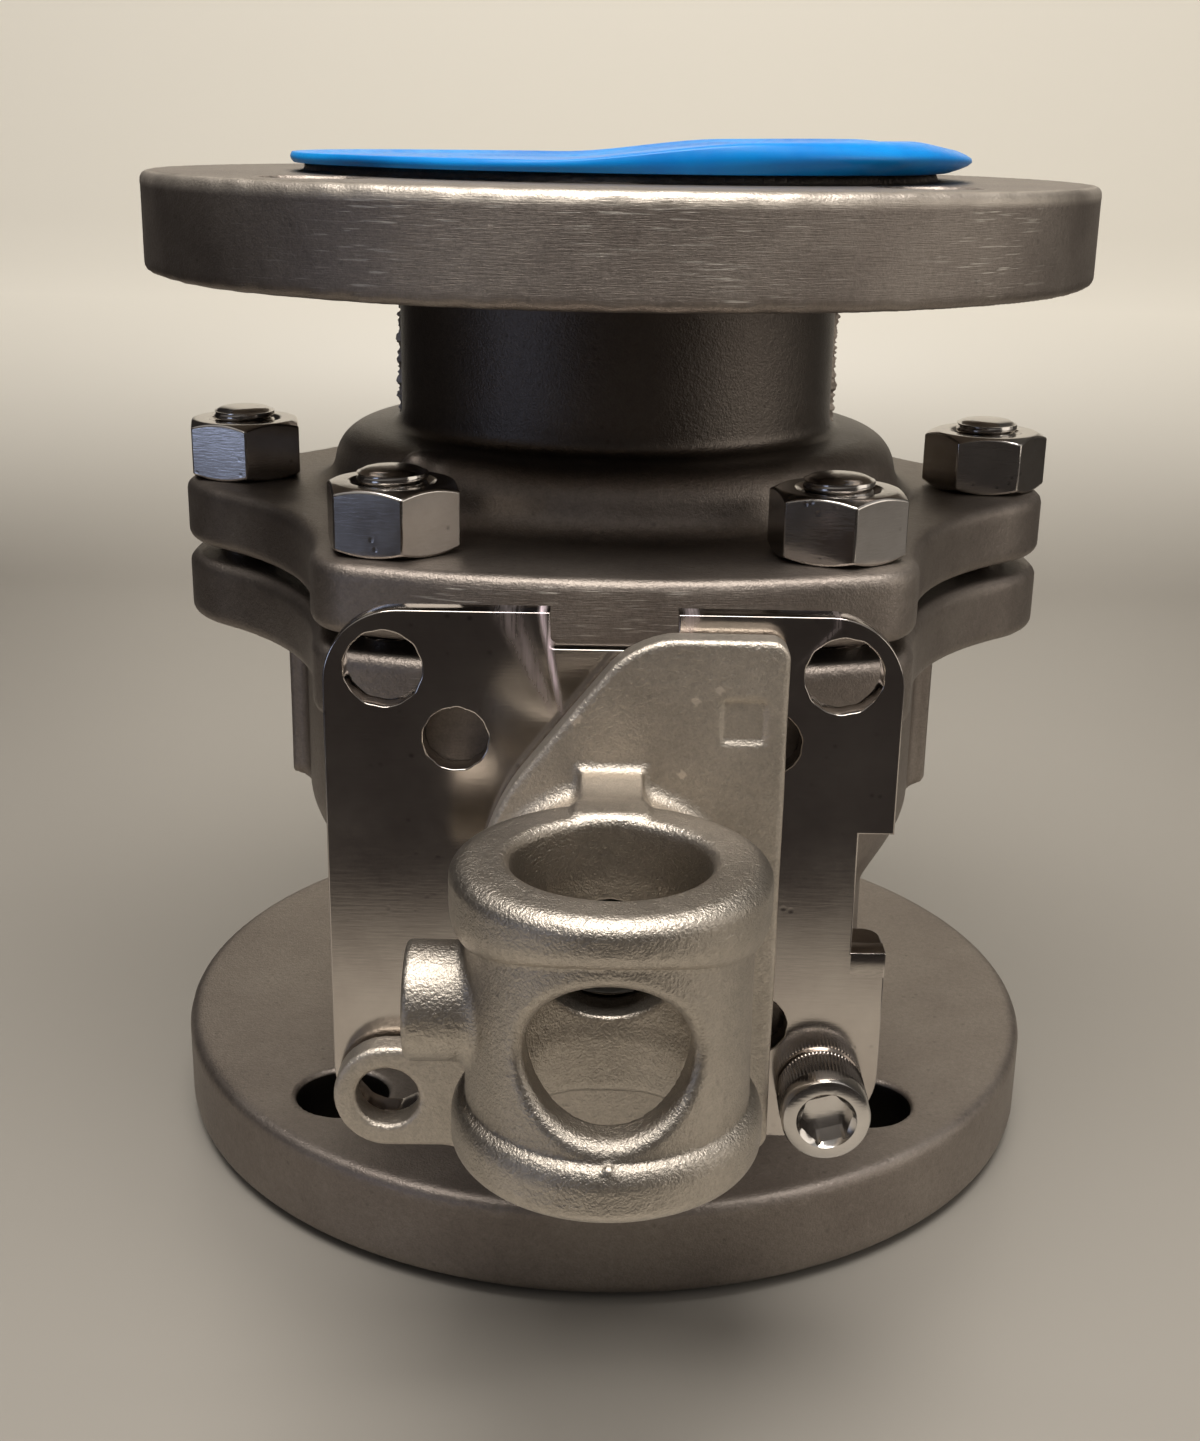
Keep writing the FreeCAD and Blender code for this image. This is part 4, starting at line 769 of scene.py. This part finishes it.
def stage_finish():
    """A plain pale floor and wall. Seen only in reflections, the floor is painted lighter just in front of
    the valve and painted dark further in front and at the sides.
    """
    material, tree, shader = new_finish("stage", 0.0, 0.42)
    x, y, z = spot_parts(tree)
    pale = blend_colour(tree, span(tree, z, 0.0, 0.12), FLOOR_COLOUR, WALL_COLOUR)
    beyond = maths(tree, "MAXIMUM", span(tree, y, -0.258, -0.330), span(tree, x, -0.24, -0.36))
    beyond = maths(tree, "MAXIMUM", beyond, span(tree, x, 0.27, 0.44, 0.0, 0.85))
    mirrored = node(tree, "LightPath").outputs["Is Glossy Ray"]
    # Painted reflection: seen only in reflections, the floor just in front of the valve is lighter.
    reflection_lit_patch = product(tree, mirrored, span(tree, y, -0.10, -0.20))
    colour = blend_colour(tree, reflection_lit_patch, pale, FLOOR_MIRRORED)
    # Painted dark, seen only in reflections, in front and at the sides.
    colour = blend_colour(tree, product(tree, beyond, mirrored), colour, REFLECTION_DARK_BEYOND)
    tree.links.new(colour, shader.inputs["Base Color"])
    return material


def add_world():
    """Soft studio light: bright overhead, behind and on the right, dark in front and on the left."""
    world = bpy.data.worlds.new("studio")
    bpy.context.scene.world = world
    world.use_nodes = True
    tree = world.node_tree
    tree.nodes.clear()
    way = node(tree, "SeparateXYZ", {0: node(tree, "TexCoord").outputs["Generated"]}).outputs
    overhead = span(tree, way["Z"], 0.3, 0.9)
    lit = span(tree, maths(tree, "ADD", way["Y"], product(tree, way["X"], 0.65)), 0.0, 0.9)
    colour = blend_colour(tree, lit, ROOM_DARK, ROOM_LIT)
    colour = blend_colour(tree, overhead, colour, ROOM_OVERHEAD)
    background = node(tree, "Background", {"Color": colour, "Strength": 1.0})
    node(tree, "OutputWorld", {0: background.outputs[0]})


# Pieces

def dress(piece, material, body=None, replaced=()):
    """Finish a piece, and say which body it rides on and which CAD nodes it stands for."""
    piece.data.materials.clear()
    piece.data.materials.append(material)
    if body:
        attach(piece, body)
    if replaced:
        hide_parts(*replaced)
    return piece


def hexagon_radius(angle, width):
    """How far the side of a hexagon lies from its middle, with corners at angle 0."""
    turn = math.radians(60)
    return width / 2 / math.cos((angle % turn) - turn / 2)


def hex_nut(name, width, height, hole_r, top_slope=0.55):
    """A nut with chamfered corners, which leave an arc at the top and bottom of each flat."""
    washer_r = width / 2 * 0.955

    def side(end, way):
        def ring(angle):
            radius = hexagon_radius(angle, width)
            return radius, end - way * max(0.0, radius - washer_r) * top_slope
        return ring

    rings = [level(hole_r, 0.6), level(hole_r + 0.6, 0.0), level(washer_r, 0.0), side(0.0, -1),
             side(height, 1), level(washer_r, height), level(hole_r + 1.2, height),
             level(hole_r, height - 1.0)]
    return softened(lathe(name, rings, 144), 0.34)


def stud(name, low, high, pitch=1.95, depth=0.55):
    """A threaded stud with a chamfered, slightly domed end."""
    def thread(height):
        def ring(angle):
            share = (height / pitch - angle / (2 * math.pi)) % 1.0
            groove = 1.0 - min(1.0, abs(share - 0.5) * 3.2)
            fade = min(1.0, max(0.0, (high - 0.9 - height) / 0.8))
            return STUD_R - depth * groove * (0.35 + 0.65 * fade), height
        return ring

    step = pitch / 8
    heights = np.arange(low + 0.6, high - 0.9, step)
    rings = [level(0.02, low), level(STUD_R - 0.8, low)] + [thread(height) for height in heights]
    rings += [level(STUD_R - 0.5, high - 0.9), level(STUD_R - 0.95, high - 0.5)]
    rings += [level(STUD_R - 1.6, high - 0.22), level(STUD_R - 2.6, high - 0.02)]
    rings += [level(STUD_R * 0.35, high + 0.12), level(0.02, high + 0.15)]
    return lathe(name, rings, 48, 50.0)


# How far each nut is turned, in degrees, from the one on the right round the back
NUT_TURNS = (53.0, 18.0, 40.0, 41.0, 43.0, 37.5)


def stud_places():
    """The middles of the six studs, from the right side round the back."""
    turns = [math.radians(60 * place) for place in range(6)]
    return [(STUD_CIRCLE_R * math.cos(turn), STUD_CIRCLE_R * math.sin(turn)) for turn in turns]


def make_nuts(finish):
    """Six nuts on the joint, each turned its own way."""
    seat = JOINT_Z + JOINT_GAP + CAP_JOINT_T
    nuts = []
    for (x, y), turn in zip(stud_places(), NUT_TURNS):
        nut = hex_nut("nut", NUT_WIDTH, NUT_HEIGHT, STUD_R + 0.1)
        turned = Matrix.Rotation(math.radians(turn), 4, "Z")
        nuts.append(placed(nut, Matrix.Translation(Vector((x, y, seat)) * MM) @ turned))
    dress(together("hex_nuts", nuts), finish, VALVE, ["joint_nuts"])


def make_studs(finish):
    """Six studs, whose tops stand out of the nuts."""
    low = JOINT_Z - JOINT_T + 0.5
    high = JOINT_Z + JOINT_GAP + CAP_JOINT_T + NUT_HEIGHT + STUD_PROUD
    studs = []
    for x, y in stud_places():
        studs.append(placed(stud("stud", low, high), Matrix.Translation(Vector((x, y, 0.0)) * MM)))
    dress(together("threaded_studs", studs), finish, VALVE, ["joint_studs"])


def make_stop_screw(finish):
    """The stop screw, with its knurled head and hexagon socket."""
    head_r, height, shank_r, length, knurls = 7.4, 11.0, 5.0, 17.0, 72
    socket, key_turn = 8.0, math.radians(16)

    def knurled(share):
        return lambda angle: (head_r - 0.2 + 0.2 * math.cos(knurls * angle), height * share)

    def key(at):
        return lambda angle: (hexagon_radius(angle - key_turn, socket), at)

    rings = [level(0.02, -length), level(shank_r - 1.0, -length), level(shank_r, 1.0 - length),
             level(shank_r, 0.0), level(head_r - 0.7, 0.0), level(head_r - 0.25, 0.5),
             level(head_r - 0.2, 0.9), knurled(0.10), knurled(0.34), knurled(0.62),
             level(head_r - 0.1, height * 0.66), level(head_r - 0.1, height - 0.9),
             level(head_r - 0.4, height - 0.3), level(head_r - 1.0, height),
             level(socket * 0.62, height), level(socket * 0.585, height - 0.35),
             key(height - 0.8), key(height * 0.56), level(2.4, height * 0.55), level(0.02, height * 0.55)]
    screw = lathe("cap_screw", rings, 576, 35.0)
    placed(screw, stem_side(LARGE_HOLE, -LARGE_HOLE, PLATE_FACE))
    dress(screw, finish, VALVE, ["stop_screw"])


def arc_points(centre, radius, start, end, steps):
    return [(centre[0] + radius * math.cos(math.radians(start + (end - start) * step / steps)),
             centre[1] + radius * math.sin(math.radians(start + (end - start) * step / steps)))
            for step in range(steps + 1)]


def sheet_piece(name, outlines, thickness, edge=0.25):
    """A flat sheet with holes and softened edges, from outlines in millimetres, centred on its own plane."""
    curve = bpy.data.curves.new(name, "CURVE")
    curve.dimensions = "2D"
    curve.fill_mode = "BOTH"
    curve.extrude = (thickness / 2 - edge) * MM
    curve.bevel_depth = edge * MM
    curve.bevel_resolution = 2
    curve.offset = -edge * MM
    for outline in outlines:
        spline = curve.splines.new("POLY")
        spline.points.add(len(outline) - 1)
        spline.use_cyclic_u = True
        for point, (across, up) in zip(spline.points, outline):
            point.co = (across * MM, up * MM, 0.0, 1.0)
    holder = bpy.data.objects.new(name, curve)
    mesh = bpy.data.meshes.new_from_object(holder)
    bpy.data.objects.remove(holder)
    return linked(name, mesh, 40.0)


def cut_hole(x, y, radius, steps=72):
    """The outline of a hole that was cut a little unevenly."""
    turns = [-2 * math.pi * step / steps for step in range(steps)]
    radii = [radius - 0.05 + 0.05 * math.sin(9 * turn + x) + 0.05 * math.sin(14 * turn + y)
             for turn in turns]
    return [(x + reach * math.cos(turn), y + reach * math.sin(turn)) for reach, turn in zip(radii, turns)]


def make_plate(finish):
    """The stop plate: a cut sheet with two circles of holes, two notches and a tab bent back."""
    half, corner = PLATE_HALF, PLATE_CORNER
    inner, notch_x, notch_low = half - corner, NOTCH_HALF - NOTCH_CORNER, half - NOTCH_DEPTH
    rim = arc_points((-inner, inner), corner, 180, 90, 16)
    rim += [(-NOTCH_HALF, half)] + arc_points((-notch_x, notch_low), NOTCH_CORNER, 180, 270, 5)
    rim += arc_points((notch_x, notch_low), NOTCH_CORNER, 270, 360, 5) + [(NOTCH_HALF, half)]
    rim += arc_points((inner, inner), corner, 90, 0, 16)
    rim += [(half, TAB_TOP), (TAB_SIDE, TAB_TOP), (TAB_SIDE, TAB_LOW), (half, TAB_LOW)]
    rim += arc_points((inner, -inner), corner, 0, -90, 16)
    rim += arc_points((-inner, -inner), corner, -90, -180, 16)
    outlines = [rim, arc_points((0.0, 0.0), MIDDLE_HOLE_R, 360, 0, 64)[:-1]]
    for x in (-1, 1):
        for y in (-1, 1):
            outlines.append(cut_hole(x * LARGE_HOLE, y * LARGE_HOLE, LARGE_HOLE_R))
            outlines.append(cut_hole(x * SMALL_HOLE, y * SMALL_HOLE, SMALL_HOLE_R))
    for y in (-PLATE_SCREW_UP, PLATE_SCREW_UP):
        outlines.append(arc_points((0.0, y), PLATE_SCREW_R, 360, 0, 24)[:-1])
    plate = sheet_piece("plate", outlines, PLATE_T)
    placed(plate, stem_side(0.0, 0.0, PLATE_FACE - PLATE_T / 2))
    bend = (TAB_WIDTH - TAB_CORNER, TAB_REACH - TAB_CORNER)
    tab_outline = [(0.0, 0.0), (TAB_WIDTH, 0.0)] + arc_points(bend, TAB_CORNER, 0, 90, 8)
    tab = sheet_piece("tab", [tab_outline + [(0.0, TAB_REACH)]], PLATE_T)
    corner_at = Vector((TAB_SIDE, -PLATE_FACE, STEM_HEIGHT + TAB_LOW - PLATE_T / 2)) * MM
    placed(tab, Matrix.Translation(corner_at))
    dress(together("hole_plate", [plate, tab]), finish, VALVE, ["stop_plate"])


def cover_rise(x):
    """How high the cap's warped lip stands above its foot: low on the left, one wave up to the right."""
    wave = 3.2 * eased((x + 14.0) / 38.0) + 0.7 * eased((x - 10.0) / 45.0) - 1.4 * eased((x - 52.0) / 14.0)
    return 2.0 + float(wave)


def make_cover(finish):
    """The thin plastic cap on the upper face: squashed on the left, standing and bulging on the right."""
    seat, wall = FACE_TO_FACE + 0.12, 0.9

    def reach(angle):
        return 65.6 + 0.5 * math.sin(2 * angle + 2.0) + 0.25 * math.sin(5 * angle)

    def top(share, sunk):
        def ring(angle):
            radius = reach(angle) * share
            return radius, seat + cover_rise(radius * math.cos(angle)) - sunk
        return ring

    def side(share, pull=0.0):
        """A ring on the skirt, from its foot at 0 to the lip at 1. The skirt bulges where it stands tall."""
        def ring(angle):
            radius = reach(angle)
            rise = cover_rise(radius * math.cos(angle))
            right = float(eased((math.cos(angle) - 0.1) / 0.9))
            bulge = 3.9 * right * math.sin(math.pi * share) + 0.5 * math.sin(math.pi * share)
            slack = 0.3 * math.sin(9 * angle + 1.0) * (1.0 - share)
            return radius + bulge + slack - pull, seat + rise * share
        return ring

    # The cap's upper side from the middle out, as the share of its reach and how far it is sunk
    inner = [(0.0003, 0.9), (0.2, 0.9), (0.4, 0.85), (0.55, 0.8), (0.57, 0.45), (0.60, 0.45), (0.62, 0.8),
             (0.75, 0.8), (0.88, 0.75), (0.935, 0.65), (0.955, 0.3), (0.968, 0.03), (0.985, 0.0)]
    rings = [top(share, sunk) for share, sunk in inner]
    rings += [side(share) for share in (0.95, 0.88, 0.75, 0.6, 0.45, 0.3, 0.15, 0.05, 0.0)]
    rings += [side(0.0, wall), side(0.3, wall), side(0.6, wall)]
    rings += [lambda angle, share=share: (top(share, 0.0)(angle)[0],
                                          max(seat + 0.1, top(share, 1.6)(angle)[1]))
              for share in (0.95, 0.75, 0.5, 0.25, 0.0003)]
    disc = lathe("blue_cap", rings, 180, 180.0)
    dress(disc, finish, COVER, ["flange_cover"])


def make_seams(finish):
    """The ragged fin of metal that the mould's parting left down both sides of the end cap's neck."""
    chance = np.random.default_rng(7)
    low, high, steps = SHOULDER_TOP + 0.6, FACE_TO_FACE - FLANGE_T - 0.3, 110
    points, faces = [], []
    for side in (-1, 1):
        base = len(points)
        teeth = np.convolve(chance.uniform(-1.0, 1.0, steps + 5), [0.2, 0.6, 0.2], "same")
        drift = np.convolve(chance.uniform(-1.0, 1.0, steps + 41), np.ones(20) / 20.0, "same")
        for step in range(steps + 1):
            height = low + (high - low) * step / steps
            proud = max(0.12, 0.85 + 0.55 * teeth[step] + 1.6 * drift[step])
            half = 0.55 + 0.15 * teeth[step + 2]
            slip = 1.2 * drift[step + 10]
            corners = [(-0.5, -half - 0.5), (proud, -half * 0.5),
                       (proud * 0.9, half * 0.4), (-0.5, half + 0.5)]
            points += [(side * (NECK_R + out), slip + across, height) for out, across in corners]
        for step in range(steps):
            for corner in range(4):
                first, second = base + 4 * step + corner, base + 4 * step + (corner + 1) % 4
                face = (first, second, second + 4, first + 4)
                faces.append(face if side > 0 else face[::-1])
        ends = [[base + row + corner for corner in range(4)] for row in (0, 4 * steps)]
        faces += [ends[0][::-1], ends[1]] if side > 0 else [ends[0], ends[1][::-1]]
    seams = object_from("mould_seams", points, faces, 60.0)
    dress(seams, finish, VALVE)


def main():
    add_camera()
    add_world()
    add_lamp("overhead", (0.0, -0.26, 0.92), (0.0, -0.04, 0.1), (0.7, 0.50), 10.5, (1.0, 0.96, 0.91))
    add_lamp("right_fill", (0.95, -0.35, 0.38), (0.0, 0.0, 0.1), (0.6, 0.6), 1.6, (1.0, 0.93, 0.84))
    add_lamp("left_window", (-0.85, -0.72, 0.14), (-0.08, 0.0, 0.15), (0.30, 0.26), 0.40, (0.56, 0.68, 1.0))
    add_stage()

    body_steel = casting_finish("blasted steel", (0.25, 0.215, 0.19, 1), (0.33, 0.29, 0.255, 1),
                                roughness=0.48, grain=2.4, pits=0.3, relief=0.55, marks_and_painted_light=flange_marks_and_painted_light)
    lever_steel = casting_finish("lever steel", (0.40, 0.36, 0.31, 1), (0.50, 0.45, 0.39, 1),
                                 roughness=0.37, grain=2.5, pits=0.25, relief=0.85, marks_and_painted_light=wing_duller_and_painted_lighter)
    sheet_steel = polished_finish("sheet steel", (0.40, 0.36, 0.33, 1), (0.50, 0.46, 0.42, 1),
                                  smooth=0.09, dull=0.15, relief=0.12, rubbed=True)
    bolt_steel = polished_finish("bolt steel", (0.46, 0.43, 0.40, 1), (0.60, 0.57, 0.54, 1),
                                 smooth=0.10, dull=0.20, relief=0.4)
    turned_steel = polished_finish("turned steel", (0.40, 0.39, 0.38, 1), (0.52, 0.51, 0.50, 1),
                                   smooth=0.22, dull=0.34, relief=0.5)
    ball_steel = polished_finish("ball steel", (0.55, 0.54, 0.53, 1), (0.66, 0.65, 0.64, 1),
                                 smooth=0.05, dull=0.10, relief=0.1)
    black_steel = polished_finish("black steel", (0.02, 0.02, 0.02, 1), (0.05, 0.05, 0.05, 1),
                                  smooth=0.3, dull=0.45, relief=0.4)
    seal = plastic_finish("seat plastic", (0.80, 0.78, 0.74, 1), (0.70, 0.68, 0.63, 1),
                          roughness=0.42, grain=900.0, relief=0.2)
    graphite = plastic_finish("graphite", (0.07, 0.07, 0.075, 1), (0.04, 0.04, 0.045, 1),
                              roughness=0.55, grain=1800.0, relief=0.5)
    blue = plastic_finish("blue plastic", (0.002, 0.25, 0.68, 1), (0.002, 0.18, 0.57, 1),
                          roughness=0.34, grain=500.0, relief=0.12,
                          Subsurface_Weight=0.12, Subsurface_Scale=0.002, Specular_IOR_Level=0.3)

    body = cast_mesh("body_casting", main_body_field, (-96, -111, 0), (96, 96, 124), CASTING_STEP)
    dress(body, body_steel, VALVE, ["main_body"])
    cap = cast_mesh("cap_casting", end_cap_field, (-96, -96, 122), (96, 96, 204), CASTING_STEP)
    dress(cap, body_steel, VALVE, ["end_cap"])
    lever = cast_mesh("lever_casting", lever_head_field, (-47, -179, 48), (29, -114, 139), LEVER_STEP)
    dress(lever, lever_steel, LEVER, ["lever_head"])
    make_seams(body_steel)
    make_nuts(bolt_steel)
    make_studs(bolt_steel)
    make_stop_screw(bolt_steel)
    make_plate(sheet_steel)
    make_cover(blue)

    finishes = {
        "seal": seal, "packing": graphite, "machined_steel": turned_steel, "bright_steel": bolt_steel,
        "polished_ball": ball_steel, "black_steel": black_steel, "polished_plate": sheet_steel,
        "cast_body": body_steel, "blasted_casting": lever_steel, "blue_plastic": blue}
    for part in frame["record"]["subparts"]:
        # The lever bolt sits in the shade of the socket's window and takes the black finish as painted
        # shade.
        finish = black_steel if part["node"] == "lever_bolt" else finishes[part["material_slot"]]
        dress(frame["nodes"][part["node"]], finish)


main()
bpy.context.scene.view_settings.view_transform = "Standard"
